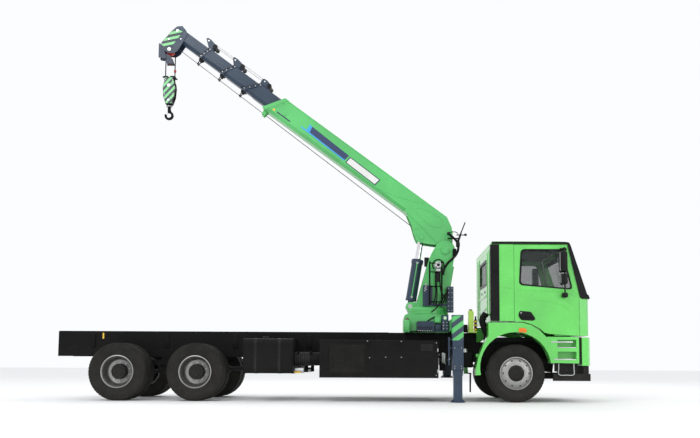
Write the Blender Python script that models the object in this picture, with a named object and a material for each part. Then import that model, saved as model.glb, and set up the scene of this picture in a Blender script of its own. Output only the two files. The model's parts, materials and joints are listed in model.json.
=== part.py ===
"""Mobile crane: a cab-over 6x4 truck with a telescopic straight-boom crane behind its cab.

Metres, +X forward, +Y left, +Z up. The origin lies on the ground under the middle of the truck.
"""
import math

import bmesh
import bpy
from mathutils import Matrix, Vector

# ---- fits
SEAT = 0.0003  # gap between two pieces that touch
SLIP = 0.0005  # gap between two faces that slide on each other at a pin or a pad
SIDES = 28  # sides of a plain round piece

# ---- wheels and axles
TYRE_RADIUS = 0.522
TYRE_WIDTH = 0.295
BEAD_RADIUS = 0.290
RIM_WALL = 0.012
FRONT_AXLE_X = 3.585
REAR_AXLE_X = (-2.185, -3.585)
FRONT_TYRE_Y = 1.070
REAR_OUTER_Y = 1.075
REAR_INNER_Y = 0.735
KINGPIN_Y = 0.860
HUB_RADIUS = 0.140
DRUM_RADIUS = 0.205
AXLE_TUBE_RADIUS = 0.075
DIFF_RADIUS = 0.215

# ---- chassis
FRAME_REAR_X = -4.950
FRAME_FRONT_X = 4.700
BUMPER_REAR_X = 4.770
BUMPER_Z = (0.664, 1.172)
RAIL_Y = 0.430  # outer face of a rail's web
RAIL_FLANGE = 0.085
RAIL_WALL = 0.012
RAIL_BOTTOM = 0.800
RAIL_TOP = 1.100
SUBFRAME_TOP = 1.270
SUBFRAME_FRONT_X = 2.960
DECK_X = (-4.940, 1.300)  # wear strips that a body would lie on
DECK_Z = 1.276
SPRING_Y = 0.490
ENGINE_X = (3.300, 4.350)
ENGINE_HALF = 0.320
GEARBOX_REAR_X = 2.440

# ---- boxes and tanks on the rails
BODY_HALF = 1.215  # half width over the side boxes and fenders
SIDE_BOX_X = (0.050, 2.190)
SIDE_BOX_Z = (0.430, 1.095)
TANK_X = (-1.330, -0.430)
TANK_Z = (0.500, 1.130)
AIR_BOTTLE_X = (-0.320, -0.060)
AIR_BOTTLE_RADIUS = 0.120

# ---- cab
CAB_HALF = 1.210
CAB_REAR_X = 3.150
CAB_SIDE_X = 3.293  # where the painted side begins, in front of the air intake
CAB_FRONT_X = 4.909
CAB_FLOOR_Z = 1.200
CAB_ROOF_Z = 2.915
CAB_WALL = 0.040
FLOOR_STEP_Z = 1.460  # the floor over the wheels
DOOR_X = (3.563, 4.731)
DOOR_WALL = 0.050
DOOR_GAP = 0.006
PANEL_TOP_Z = 1.889

# ---- crane
SLEW_X = 2.060
BASE_X = (1.585, 2.420)
BASE_Z = (SUBFRAME_TOP, 1.610)
TURN_Z = (1.610, 1.770)
TURN_RADIUS = 0.400
BOOM_PIVOT = (2.382, 2.868)
BOOM_ANGLE = math.radians(36.4)
FORK_Y = 0.215  # inner face of the column's two side plates
PLATE = 0.030
HEEL_Y = 0.190  # outer face of the boom's sides
LIFT_BASE_PIN = (1.713, 1.790)
LIFT_ROD_PIN = (0.525, -0.043)  # along and across the boom, from its pivot
BARREL_RADIUS = 0.105
ROD_RADIUS = 0.0575
OUTRIGGER_X = 2.530
LEG_Y = 1.240
LEG_HALF = 0.0975
LEG_INNER_HALF = 0.0775
FOOT_RADIUS = 0.130
FAR_LEG_RAISED = 0.400

COLOURS = {
    "cab_green": ((0.16, 0.72, 0.14), 0.30, 0.0),
    "crane_green": ((0.13, 0.55, 0.17), 0.42, 0.0),
    "slate": ((0.048, 0.062, 0.090), 0.40, 0.1),
    "black_steel": ((0.018, 0.018, 0.020), 0.55, 0.2),
    "black_plastic": ((0.020, 0.020, 0.022), 0.65, 0.0),
    "rubber": ((0.015, 0.015, 0.016), 0.85, 0.0),
    "rim_silver": ((0.55, 0.56, 0.58), 0.35, 0.8),
    "chrome": ((0.75, 0.75, 0.77), 0.12, 1.0),
    "cast": ((0.10, 0.10, 0.105), 0.60, 0.4),
    "red": ((0.60, 0.03, 0.025), 0.45, 0.0),
    "glass": ((0.05, 0.07, 0.07), 0.05, 0.0),
    "seat_cloth": ((0.10, 0.10, 0.11), 0.90, 0.0),
    "white_tank": ((0.62, 0.78, 0.12), 0.40, 0.0),
}


# ---- small tools
def clear_scene():
    for obj in list(bpy.data.objects):
        bpy.data.objects.remove(obj)


def material(name):
    found = bpy.data.materials.get(name)
    if found:
        return found
    colour, roughness, metallic = COLOURS[name]
    made = bpy.data.materials.new(name)
    made.use_nodes = True
    shader = made.node_tree.nodes["Principled BSDF"]
    shader.inputs["Base Color"].default_value = (*colour, 1.0)
    shader.inputs["Roughness"].default_value = roughness
    shader.inputs["Metallic"].default_value = metallic
    made.diffuse_color = (*colour, 1.0)
    return made


def shape(name, bm, paint):
    bmesh.ops.recalc_face_normals(bm, faces=bm.faces)
    mesh = bpy.data.meshes.new(name)
    bm.to_mesh(mesh)
    bm.free()
    obj = bpy.data.objects.new(name, mesh)
    bpy.context.scene.collection.objects.link(obj)
    if paint:
        mesh.materials.append(material(paint))
    return obj


def box(x, y, z, name="piece", paint=None):
    bm = bmesh.new()
    bmesh.ops.create_cube(bm, size=1.0)
    size = Vector((x[1] - x[0], y[1] - y[0], z[1] - z[0]))
    middle = Vector((x[0] + x[1], y[0] + y[1], z[0] + z[1])) / 2
    bmesh.ops.scale(bm, vec=size, verts=bm.verts)
    bmesh.ops.translate(bm, vec=middle, verts=bm.verts)
    return shape(name, bm, paint)


def prism(outline, low, high, axis="Y", name="piece", paint=None):
    """An outline of pairs, drawn across the axis and extruded along it from low to high."""
    bm = bmesh.new()
    place = {
        "Y": lambda a, b, c: (a, c, b),
        "Z": lambda a, b, c: (a, b, c),
        "X": lambda a, b, c: (c, a, b),
    }[axis]
    verts = [bm.verts.new(place(a, b, low)) for a, b in outline]
    face = bm.faces.new(verts)
    grown = bmesh.ops.extrude_face_region(bm, geom=[face])["geom"]
    moved = [g for g in grown if isinstance(g, bmesh.types.BMVert)]
    shift = Vector(place(0, 0, high - low))
    bmesh.ops.translate(bm, vec=shift, verts=moved)
    return shape(name, bm, paint)


def turned(profile, centre, axis="Y", sides=SIDES, name="piece", paint=None):
    """A closed profile of (radius, distance along the axis) pairs, spun about the axis."""
    bm = bmesh.new()
    verts = [bm.verts.new((r, 0.0, h)) for r, h in profile]
    edges = [bm.edges.new((verts[i], verts[(i + 1) % len(verts)])) for i in range(len(verts))]
    bmesh.ops.spin(
        bm, geom=verts + edges, cent=(0, 0, 0), axis=(0, 0, 1), angle=2 * math.pi, steps=sides, use_merge=True
    )
    bmesh.ops.remove_doubles(bm, verts=bm.verts, dist=0.00001)
    turn = {
        "Z": Matrix.Identity(4),
        "Y": Matrix.Rotation(-math.pi / 2, 4, "X"),
        "X": Matrix.Rotation(math.pi / 2, 4, "Y"),
    }[axis]
    bmesh.ops.transform(bm, matrix=Matrix.Translation(centre) @ turn, verts=bm.verts)
    obj = shape(name, bm, paint)
    obj.data.shade_smooth()
    obj.data.set_sharp_from_angle(angle=math.radians(35))
    return obj


def rod(start, end, radius, sides=SIDES, name="piece", paint=None):
    """A round bar from one point to another."""
    start, end = Vector(start), Vector(end)
    bm = bmesh.new()
    bmesh.ops.create_cone(
        bm, cap_ends=True, segments=sides, radius1=radius, radius2=radius, depth=(end - start).length
    )
    turn = (end - start).to_track_quat("Z", "Y").to_matrix().to_4x4()
    bmesh.ops.transform(bm, matrix=Matrix.Translation((start + end) / 2) @ turn, verts=bm.verts)
    obj = shape(name, bm, paint)
    obj.data.shade_smooth()
    obj.data.set_sharp_from_angle(angle=math.radians(35))
    return obj


def combine(target, tool, operation):
    """Join a tool to the target, or cut it away, and drop the tool."""
    modifier = target.modifiers.new(operation, "BOOLEAN")
    modifier.operation = operation
    modifier.solver = "EXACT"
    modifier.object = tool
    graph = bpy.context.evaluated_depsgraph_get()
    target.data = bpy.data.meshes.new_from_object(target.evaluated_get(graph))
    target.modifiers.clear()
    bpy.data.objects.remove(tool)
    return target


def union(target, *tools):
    for tool in tools:
        combine(target, tool, "UNION")
    return target


def cut(target, *tools):
    for tool in tools:
        combine(target, tool, "DIFFERENCE")
    return target


def named(obj, name, paint):
    obj.name = name
    obj.data.name = name
    obj.data.materials.clear()
    obj.data.materials.append(material(paint))
    return obj


def set_origin(obj, point):
    """Put the object's origin on its joint without moving its shape."""
    obj.data.transform(Matrix.Translation(-Vector(point)))
    obj.location = point
    return obj


def arc(centre, radius, start_deg, end_deg, steps):
    """Points along an arc, angles counted from the first axis toward the second."""
    found = []
    for i in range(steps + 1):
        a = math.radians(start_deg + (end_deg - start_deg) * i / steps)
        found.append((centre[0] + radius * math.cos(a), centre[1] + radius * math.sin(a)))
    return found


def sided(side, low, high):
    """A pair of distances from the middle, as Y limits on that side (-1 right, +1 left)."""
    return (side * low, side * high) if side > 0 else (side * high, side * low)


# ---- chassis
def rail(side):
    """A channel rail, its flanges turned to the middle of the truck."""
    outer = RAIL_Y
    inner = RAIL_Y - RAIL_FLANGE
    web = RAIL_Y - RAIL_WALL
    low, high = RAIL_BOTTOM, RAIL_TOP
    section = [
        (outer, low), (outer, high), (inner, high), (inner, high - RAIL_WALL),
        (web, high - RAIL_WALL), (web, low + RAIL_WALL), (inner, low + RAIL_WALL), (inner, low),
    ]
    return prism([(side * y, z) for y, z in section], FRAME_REAR_X, FRAME_FRONT_X, axis="X")


def frame_rails():
    frame = rail(-1)
    members = [FRAME_REAR_X + 0.006, -2.885, -1.250, 0.600, 1.600, GEARBOX_REAR_X - 0.040]
    pieces = [rail(1)]
    for x in members:
        pieces.append(box((x - 0.006, x + 0.040), (-RAIL_Y + 0.006, RAIL_Y - 0.006), (0.840, 1.060)))
    pieces.append(box((4.560, BUMPER_REAR_X - SEAT), (-RAIL_Y - 0.010, RAIL_Y + 0.010), (0.790, 1.110)))
    union(frame, *pieces)
    return named(frame, "frame_rails", "black_steel")


def subframe():
    low, high = RAIL_TOP + SEAT, SUBFRAME_TOP
    pieces = []
    for side in (-1, 1):
        y = sided(side, RAIL_Y - RAIL_FLANGE, RAIL_Y)
        pieces.append(box((FRAME_REAR_X, SUBFRAME_FRONT_X), y, (low, high)))
    for x in (FRAME_REAR_X, -3.000, -1.200, 0.500, 1.620, 2.320):
        pieces.append(box((x, x + 0.080), (-RAIL_Y + 0.01, RAIL_Y - 0.01), (low + 0.020, high - 0.010)))
    for side in (-1, 1):
        strip_y = sided(side, RAIL_Y - RAIL_FLANGE + 0.005, RAIL_Y - 0.005)
        pieces.append(box(DECK_X, strip_y, (high - 0.004, DECK_Z)))
    made = union(pieces[0], *pieces[1:])
    return named(made, "subframe", "black_steel")


def leaf_spring(x, half_length, y, top, camber, leaves_height):
    """A pack of leaves, arched, as one bar."""
    steps = 8
    upper = []
    for i in range(steps + 1):
        t = -1 + 2 * i / steps
        upper.append((x + t * half_length, top - camber * (1 - t * t)))
    lower = []
    for px, pz in reversed(upper):
        t = (px - x) / half_length
        lower.append((px, pz - 0.018 - leaves_height * (1 - abs(t))))
    return prism(upper + lower, y - 0.040, y + 0.040)


def front_axle():
    axle_z = TYRE_RADIUS
    beam = prism(
        [
            (-KINGPIN_Y, axle_z - 0.045), (-KINGPIN_Y + 0.12, axle_z - 0.060), (-0.56, 0.370), (0.56, 0.370),
            (KINGPIN_Y - 0.12, axle_z - 0.060), (KINGPIN_Y, axle_z - 0.045), (KINGPIN_Y, axle_z + 0.045),
            (KINGPIN_Y - 0.12, axle_z + 0.040), (0.56, 0.470), (-0.56, 0.470),
            (-KINGPIN_Y + 0.12, axle_z + 0.040), (-KINGPIN_Y, axle_z + 0.045),
        ],
        FRONT_AXLE_X - 0.050, FRONT_AXLE_X + 0.050, axis="X",
    )
    pieces = []
    for side in (-1, 1):
        y = side * KINGPIN_Y
        pieces.append(
            turned([(0, axle_z - 0.085), (0.055, axle_z - 0.085), (0.055, axle_z + 0.085), (0, axle_z + 0.085)],
                   (FRONT_AXLE_X, y, 0), axis="Z")
        )
        spring = leaf_spring(FRONT_AXLE_X, 0.760, side * SPRING_Y, 0.700, 0.135, 0.050)
        pieces.append(spring)
        saddle = sided(side, SPRING_Y - 0.040, SPRING_Y + 0.040)
        pieces.append(box((FRONT_AXLE_X - 0.060, FRONT_AXLE_X + 0.060), saddle, (0.455, 0.520)))
        low, high = sided(side, RAIL_Y + SEAT, SPRING_Y + 0.040)
        for x in (FRONT_AXLE_X - 0.740, FRONT_AXLE_X + 0.740):
            pieces.append(box((x - 0.040, x + 0.040), (low, high), (0.650, 0.900)))
    union(beam, *pieces)
    return named(beam, "front_axle", "black_steel")


def rear_axle(name, x):
    z = TYRE_RADIUS
    end = REAR_INNER_Y - TYRE_WIDTH / 2 + 0.010 - SLIP
    tube = rod((x, -end, z), (x, end, z), AXLE_TUBE_RADIUS)
    ball = turned(
        [(0, -DIFF_RADIUS), *arc((0, 0), DIFF_RADIUS, -70, 70, 8), (0, DIFF_RADIUS)],
        (x, 0, z), axis="X", sides=20,
    )
    pieces = [ball]
    for side in (-1, 1):
        pieces.append(rod((x, side * (end - 0.030), z), (x, side * end, z), 0.130))
    pieces.append(rod((x + 0.110, 0, z), (x + 0.300, 0, z), 0.076, sides=12))
    union(tube, *pieces)
    return named(tube, name, "black_steel")


def bogie_suspension():
    """Both springs on their trunnion bracket, under the rails between the rear axles."""
    middle = sum(REAR_AXLE_X) / 2
    z = TYRE_RADIUS
    whole = box((middle - 0.060, middle + 0.060), (-RAIL_Y, RAIL_Y), (z + 0.020, z + 0.100))
    pieces = []
    for side in (-1, 1):
        spring = leaf_spring(middle, 0.800, side * SPRING_Y, z + 0.080, -0.140, 0.090)
        pieces.append(spring)
        pieces.append(box((middle - 0.130, middle + 0.130), sided(side, 0.330, 0.500), (z + 0.000, z + 0.160)))
        pieces.append(
            box((middle - 0.100, middle + 0.100), sided(side, 0.340, RAIL_Y - 0.001), (z + 0.010, RAIL_BOTTOM - SEAT))
        )
        for x in REAR_AXLE_X:
            pieces.append(
                box((x - 0.055, x + 0.055), sided(side, SPRING_Y - 0.040, SPRING_Y + 0.040),
                    (z + AXLE_TUBE_RADIUS + SEAT, z + 0.135))
            )
    union(whole, *pieces)
    return named(whole, "bogie_suspension", "black_steel")


def engine():
    made = box(ENGINE_X, (-ENGINE_HALF, ENGINE_HALF), (0.700, 1.180))
    gearbox = box((GEARBOX_REAR_X + SEAT, ENGINE_X[0] + 0.001), (-0.190, 0.190), (0.720, 1.060))
    reach = RAIL_Y - RAIL_FLANGE - SEAT
    mounts = box((4.000, 4.100), (-reach, reach), (RAIL_BOTTOM - 0.020, RAIL_BOTTOM + 0.030))
    union(made, gearbox, mounts)
    return named(made, "engine", "cast")


def side_box(side):
    outer = BODY_HALF
    made = prism(
        [
            (SIDE_BOX_X[0], SIDE_BOX_Z[0]), (SIDE_BOX_X[1], SIDE_BOX_Z[0]),
            (SIDE_BOX_X[1], SIDE_BOX_Z[1]), (SIDE_BOX_X[0], SIDE_BOX_Z[1]),
        ],
        *sided(side, RAIL_Y + SEAT, outer),
    )
    return made


def side_boxes():
    for side, word in ((-1, "right"), (1, "left")):
        named(side_box(side), "side_box_" + word, "black_steel")


def fuel_tank(side):
    low, high = TANK_Z
    bend = 0.090
    inner, outer = RAIL_Y + SEAT, BODY_HALF - 0.020
    section = [(inner, low), *arc((outer - bend, low + bend), bend, -90, 0, 4)]
    section += [*arc((outer - bend, high - bend), bend, 0, 90, 4), (inner, high)]
    tank = prism([(side * y, z) for y, z in section], *TANK_X, axis="X")
    middle = sum(TANK_Z) / 2 - 0.05
    bottle = rod(
        (TANK_X[1] - 0.020, side * 0.900, middle), (SIDE_BOX_X[0] - SEAT, side * 0.900, middle), AIR_BOTTLE_RADIUS
    )
    return union(tank, bottle)


def fuel_tanks():
    for side, word in ((-1, "right"), (1, "left")):
        named(fuel_tank(side), "fuel_tank_" + word, "black_steel")


# ---- bumper, fenders and steps
ARCH_CENTRE = (3.575, 0.622)
ARCH_RADIUS = 0.640
FENDER_REAR = (2.855, 0.484)
STEP_X = (4.210, 4.717)
STEP_Z = (0.704, 1.180)
FENDER_INNER_Y = 0.960


def bumper():
    half = BODY_HALF
    outline = [
        (BUMPER_REAR_X, -half), (4.880, -half), (4.925, -half + 0.070), (4.951, -0.700), (4.951, 0.700),
        (4.925, half - 0.070), (4.880, half), (BUMPER_REAR_X, half),
    ]
    made = prism(outline, *BUMPER_Z, axis="Z")
    return named(made, "bumper", "cab_green")


def underrun_bar():
    """Black bar under the bumper, its ends turned back along both sides."""
    made = box((4.260, 4.925), (-1.180, 1.180), (0.390, 0.520))
    cut(made, box((4.200, 4.800), (-1.100, 1.100), (0.380, 0.530)))
    union(made, box((4.810, 4.900), (-1.160, 1.160), (0.510, BUMPER_Z[0] - SEAT)))
    return named(made, "underrun_bar", "black_plastic")


def fender(side):
    """Wheel-arch flare, mudguard behind it and the two-step box before it, as one moulding."""
    y = sided(side, FENDER_INNER_Y, BODY_HALF)
    outer = [
        (4.275, 0.704), (4.262, 0.880), (4.215, 1.040), (4.130, 1.180), (4.010, 1.300), (3.860, 1.390), (3.700, 1.433),
        (3.090, 1.433), (3.090, 1.200), (2.990, 1.010), (2.905, 0.800), (2.860, 0.600), FENDER_REAR,
    ]
    inner = arc(ARCH_CENTRE, ARCH_RADIUS, 192, 8, 20)
    band = prism(outer + inner, *y)
    step = prism(
        [
            (4.240, STEP_Z[0] + 0.010), (STEP_X[1], STEP_Z[0]), (STEP_X[1], STEP_Z[1]), (4.150, STEP_Z[1]),
            (4.130, 1.170), (4.215, 1.040),
        ],
        *y,
    )
    for z in (0.765, 0.980):
        cut(step, box((4.330, 4.670), sided(side, 1.060, BODY_HALF + 0.05), (z, z + 0.150)))
    bracket = box((4.300, 4.500), sided(side, RAIL_Y + SEAT, 1.000), (0.900, 0.980))
    rear = box((2.890, 2.930), sided(side, RAIL_Y + SEAT, 1.000), (0.815, 0.870))
    union(band, step, bracket, rear)
    return band


def fenders():
    for side, word in ((-1, "right"), (1, "left")):
        named(fender(side), "fender_" + word, "cab_green")


# ---- wheels
def tyre_profile(width):
    """Half-round shoulders and straight beads, as (radius, distance from the middle)."""
    half = width / 2
    tread = half - 0.030
    return [
        (BEAD_RADIUS, -half + 0.040), (BEAD_RADIUS + 0.050, -half + 0.008), (0.400, -half), (0.480, -half + 0.008),
        (0.512, -tread), (TYRE_RADIUS, -tread + 0.030), (TYRE_RADIUS, tread - 0.030), (0.512, tread),
        (0.480, half - 0.008), (0.400, half), (BEAD_RADIUS + 0.050, half - 0.008), (BEAD_RADIUS, half - 0.040),
    ]


def across(profile, side):
    """Turn a profile drawn toward the outside of the truck to its side."""
    return [(r, side * y) for r, y in profile]


def front_wheel(side, word):
    centre = (FRONT_AXLE_X, side * FRONT_TYRE_Y, TYRE_RADIUS)
    tyre = turned(across(tyre_profile(TYRE_WIDTH), side), centre, name="tyre")
    named(tyre, "tyre_front_" + word, "rubber")
    half = TYRE_WIDTH / 2
    seat = BEAD_RADIUS - SEAT
    disc = 0.075
    rim = turned(
        across(
            [
                (0, disc - 0.015), (HUB_RADIUS, disc - 0.015), (0.235, disc + 0.010), (seat - RIM_WALL, half - 0.055),
                (seat - RIM_WALL, -half + 0.035), (seat, -half + 0.035), (seat, half - 0.030),
                (seat - 0.012, half - 0.012), (0.240, disc + 0.030), (0.200, disc + 0.045),
                (HUB_RADIUS, disc + 0.045), (HUB_RADIUS - 0.012, half + 0.005), (0, half + 0.005),
            ],
            side,
        ),
        centre, name="rim",
    )
    named(rim, "rim_front_" + word, "rim_silver")
    return tyre, rim


def knuckle(side, word):
    """Steering knuckle: a fork round the kingpin boss and the brake plate."""
    z = TYRE_RADIUS
    y = side * KINGPIN_Y
    plate_low = KINGPIN_Y + 0.070
    plate_high = FRONT_TYRE_Y + 0.060 - SLIP
    hub = rod((FRONT_AXLE_X, side * plate_low, z), (FRONT_AXLE_X, side * plate_high, z), 0.060)
    plate = rod((FRONT_AXLE_X, side * plate_low, z), (FRONT_AXLE_X, side * (plate_low + 0.090), z), DRUM_RADIUS)
    pieces = [plate]
    for low, high in ((z - 0.125, z - 0.0855), (z + 0.0855, z + 0.125)):
        reach = sided(side, KINGPIN_Y - 0.040, plate_low + 0.020)
        pieces.append(box((FRONT_AXLE_X - 0.050, FRONT_AXLE_X + 0.050), reach, (low, high)))
    union(hub, *pieces)
    named(hub, "knuckle_" + word, "black_steel")
    set_origin(hub, (FRONT_AXLE_X, y, z))
    return hub


def rear_wheel(name, x, side):
    """Twin tyres on two rims that meet at the hub, as one body."""
    half = TYRE_WIDTH / 2
    near = REAR_INNER_Y - half
    far = REAR_OUTER_Y + half
    meet = (REAR_OUTER_Y + REAR_INNER_Y) / 2
    well = BEAD_RADIUS - 0.025
    profile = [
        (0, near + 0.010), (0.200, near + 0.010), (0.200, meet - 0.030), (well, meet - 0.020), (well, near + 0.030),
        *[(r, y + REAR_INNER_Y) for r, y in tyre_profile(TYRE_WIDTH)],
        *[(r, y + REAR_OUTER_Y) for r, y in tyre_profile(TYRE_WIDTH)],
        (well, far - 0.030), (well - 0.005, meet + 0.060), (0.210, meet + 0.020),
        (HUB_RADIUS, meet + 0.030), (HUB_RADIUS, far - 0.065), (HUB_RADIUS - 0.030, far - 0.045), (0, far - 0.045),
    ]
    wheel = turned(across(profile, side), (x, 0, TYRE_RADIUS))
    named(wheel, name, "rubber")
    return set_origin(wheel, (x, side * REAR_OUTER_Y, TYRE_RADIUS))


def running_gear():
    for side, word in ((-1, "right"), (1, "left")):
        turning = knuckle(side, word)
        for piece in front_wheel(side, word):
            set_origin(piece, (FRONT_AXLE_X, side * FRONT_TYRE_Y, TYRE_RADIUS))
            piece.parent = turning
            piece.matrix_parent_inverse = Matrix.Translation((-FRONT_AXLE_X, -side * KINGPIN_Y, -TYRE_RADIUS))
        for number, x in enumerate(REAR_AXLE_X, 1):
            rear_wheel(f"wheel_rear_{number}_{word}", x, side)


# ---- crane base and outriggers
BEAM_HALF_X = 0.085
BEAM_Z = (1.300, 1.480)
BEAM_WALL = 0.016
LEG_TOP = 1.555
LEG_BOTTOM = 0.564
COLLAR_BOTTOM = 0.472


def crane_base():
    """Bolted base block, and the cross sleeve that carries both outrigger beams."""
    base = prism(
        [
            (BASE_X[0], BASE_Z[0] + SEAT), (BASE_X[1], BASE_Z[0] + SEAT), (BASE_X[1], 1.560),
            (BASE_X[1] - 0.050, BASE_Z[1]), (BASE_X[0] + 0.020, BASE_Z[1]), (BASE_X[0], 1.560),
        ],
        -0.480, 0.480,
    )
    wall = BEAM_WALL
    x = (OUTRIGGER_X - BEAM_HALF_X - wall - SLIP, OUTRIGGER_X + BEAM_HALF_X + wall + SLIP)
    z = (BEAM_Z[0] - wall - SLIP, BEAM_Z[1] + wall + SLIP)
    sleeve = box(x, (-LEG_Y + LEG_HALF + 0.020, LEG_Y - LEG_HALF - 0.020), z)
    bore = box(
        (OUTRIGGER_X - BEAM_HALF_X - SLIP, OUTRIGGER_X + BEAM_HALF_X + SLIP), (-1.5, 1.5),
        (BEAM_Z[0] - SLIP, BEAM_Z[1] + SLIP),
    )
    neck = box((BASE_X[1] - 0.020, x[0] + 0.008), (-0.400, 0.400), (z[0] + 0.010, z[1] - 0.010))
    union(base, sleeve, neck)
    cut(base, bore)
    return named(base, "crane_base", "crane_green")


def outrigger_beam(side, word):
    """A sliding beam with the outer tube of its jack leg at the end."""
    reach = LEG_Y - LEG_HALF
    beam = box(
        (OUTRIGGER_X - BEAM_HALF_X, OUTRIGGER_X + BEAM_HALF_X), sided(side, 0.010, reach + 0.010), BEAM_Z
    )
    leg_y = sided(side, LEG_Y - LEG_HALF, LEG_Y + LEG_HALF)
    leg = box((OUTRIGGER_X - LEG_HALF, OUTRIGGER_X + LEG_HALF), leg_y, (LEG_BOTTOM, LEG_TOP))
    rim = LEG_HALF - 0.012
    collar_y = sided(side, LEG_Y - rim, LEG_Y + rim)
    collar = box((OUTRIGGER_X - rim, OUTRIGGER_X + rim), collar_y, (COLLAR_BOTTOM, LEG_BOTTOM + 0.010))
    union(beam, leg, collar)
    inner = LEG_INNER_HALF + SLIP
    cut(beam, box((OUTRIGGER_X - inner, OUTRIGGER_X + inner), sided(side, LEG_Y - inner, LEG_Y + inner),
                  (COLLAR_BOTTOM - 0.050, LEG_TOP - 0.030)))
    named(beam, "outrigger_beam_" + word, "slate")
    return set_origin(beam, (OUTRIGGER_X, side * LEG_Y, sum(BEAM_Z) / 2))


def outrigger_leg(side, word, raised):
    """Inner tube with its round foot."""
    half = LEG_INNER_HALF
    top = LEG_TOP - 0.045 if raised else 1.150
    top = min(top, LEG_TOP - 0.045)
    y = side * LEG_Y
    tube = box((OUTRIGGER_X - half, OUTRIGGER_X + half), sided(side, LEG_Y - half, LEG_Y + half),
               (raised + 0.040, top))
    foot = turned(
        [(0, raised), (FOOT_RADIUS, raised), (FOOT_RADIUS, raised + 0.022), (0.080, raised + 0.060),
         (0, raised + 0.060)],
        (OUTRIGGER_X, y, 0), axis="Z",
    )
    union(tube, foot)
    named(tube, "outrigger_leg_" + word, "slate")
    return set_origin(tube, (OUTRIGGER_X, y, raised))


def outriggers():
    for side, word, raised in ((-1, "right", 0.0), (1, "left", FAR_LEG_RAISED)):
        beam = outrigger_beam(side, word)
        leg = outrigger_leg(side, word, raised)
        leg.parent = beam
        leg.matrix_parent_inverse = Matrix.Translation(-beam.location)


def control_bank():
    """Lever valves on a bracket at the right of the base."""
    made = box((1.820, 2.150), (-0.660, -0.480 - SEAT), (1.300, 1.450))
    hood = box((1.830, 2.140), (-0.640, -0.500), (1.440, 1.480))
    shelf = box((1.830, 2.410), (-0.650, -0.480 - SEAT), (1.290, 1.310))
    valves = box((2.290, 2.415), (-0.655, -0.480 - SEAT), (1.300, 1.600))
    union(made, hood, shelf, valves)
    return named(made, "control_bank", "slate")


def coolant_tank():
    made = prism(
        [(2.795, 1.290), (2.885, 1.290), (2.895, 1.650), (2.875, 1.690), (2.805, 1.690)], -0.600, -0.440,
    )
    shelf = box((2.780, 2.950), (-0.620, -0.345), (SUBFRAME_TOP + SEAT, 1.300))
    union(made, shelf)
    return named(made, "coolant_tank", "white_tank")


# ---- column, on the slewing axis
def column():
    """Slewing drum, leaning box column and the fork that holds the boom."""
    turntable = turned(
        [(0, TURN_Z[0] + SLIP), (TURN_RADIUS, TURN_Z[0] + SLIP), (TURN_RADIUS, TURN_Z[1] - 0.020),
         (TURN_RADIUS - 0.020, TURN_Z[1]), (0, TURN_Z[1])],
        (SLEW_X, 0, 0), axis="Z", sides=32,
    )
    lean = [(1.810, 1.750), (2.420, 1.750), (2.560, 2.560), (2.120, 2.560)]
    core = prism(lean, -0.170, 0.170)
    pivot_x, pivot_z = BOOM_PIVOT
    cheeks = []
    for side in (-1, 1):
        outline = [(1.810, 1.750), (2.420, 1.750), (2.545, 2.640)]
        outline += arc(BOOM_PIVOT, 0.200, -12, 150, 10)
        outline += [(2.110, 2.790), (2.058, 2.650)]
        cheeks.append(prism(outline, *sided(side, FORK_Y, FORK_Y + PLATE)))
        cheeks.append(prism(lean, *sided(side, 0.165, FORK_Y + 0.005)))
    union(turntable, core, *cheeks)
    boss_reach = FORK_Y + PLATE + 0.030
    for side in (-1, 1):
        y = sided(side, FORK_Y + PLATE - 0.004, boss_reach)
        union(turntable, rod((pivot_x, y[0], pivot_z), (pivot_x, y[1], pivot_z), 0.075))
    px, pz = LIFT_BASE_PIN
    for side in (-1, 1):
        lug = prism(
            [(px + 0.200, pz - 0.120), *reversed(arc((px, pz), 0.085, 90, 250, 6)), (px + 0.300, pz + 0.085)],
            *sided(side, EYE_HALF + SLIP, EYE_HALF + SLIP + PLATE),
        )
        union(turntable, lug)
    throat = box((px - 0.200, px + 0.095), (-EYE_HALF - SLIP, EYE_HALF + SLIP), (pz - 0.140, pz + 0.400))
    cut(turntable, throat)
    named(turntable, "column", "crane_green")
    return set_origin(turntable, (SLEW_X, 0, TURN_Z[0]))


def column_equipment():
    """Oil cooler box and valve plate on the right face of the column."""
    cooler = box((1.950, 2.130), (-FORK_Y - PLATE - 0.160, -FORK_Y - PLATE - SEAT), (1.785, 2.175))
    plate = box((2.110, 2.440), (-FORK_Y - PLATE - 0.090, -FORK_Y - PLATE - SEAT), (1.790, 1.830))
    tower = box((2.410, 2.535), (-FORK_Y - PLATE - 0.120, -FORK_Y - PLATE + 0.030), (1.665, 2.160))
    union(cooler, plate, tower)
    cut(cooler, box((2.300, 2.600), (-FORK_Y - PLATE - SEAT, 0), (1.6, 2.3)))
    return named(cooler, "valve_box", "slate")


def hose_frame():
    """Tube hoop up the right side of the column, with its bars."""
    y = -FORK_Y - PLATE - 0.200
    low, high = 1.800, 2.630
    left, right = 2.075, 2.305
    frame = rod((left, y, low), (left, y, high), 0.016, sides=8)
    other = rod((right, y, low), (right, y, high), 0.016, sides=8)
    bars = [rod((left - 0.008, y, z), (right + 0.008, y, z), 0.011, sides=8) for z in (1.860, 2.155, 2.430, 2.600)]
    middle = (left + right) / 2
    arms = [rod((middle, y + 0.004, z), (middle, -FORK_Y - PLATE - SEAT, z), 0.009, sides=8) for z in (2.155, 2.430)]
    union(frame, *bars, other, *arms)
    return named(frame, "hose_frame", "black_steel")


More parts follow.
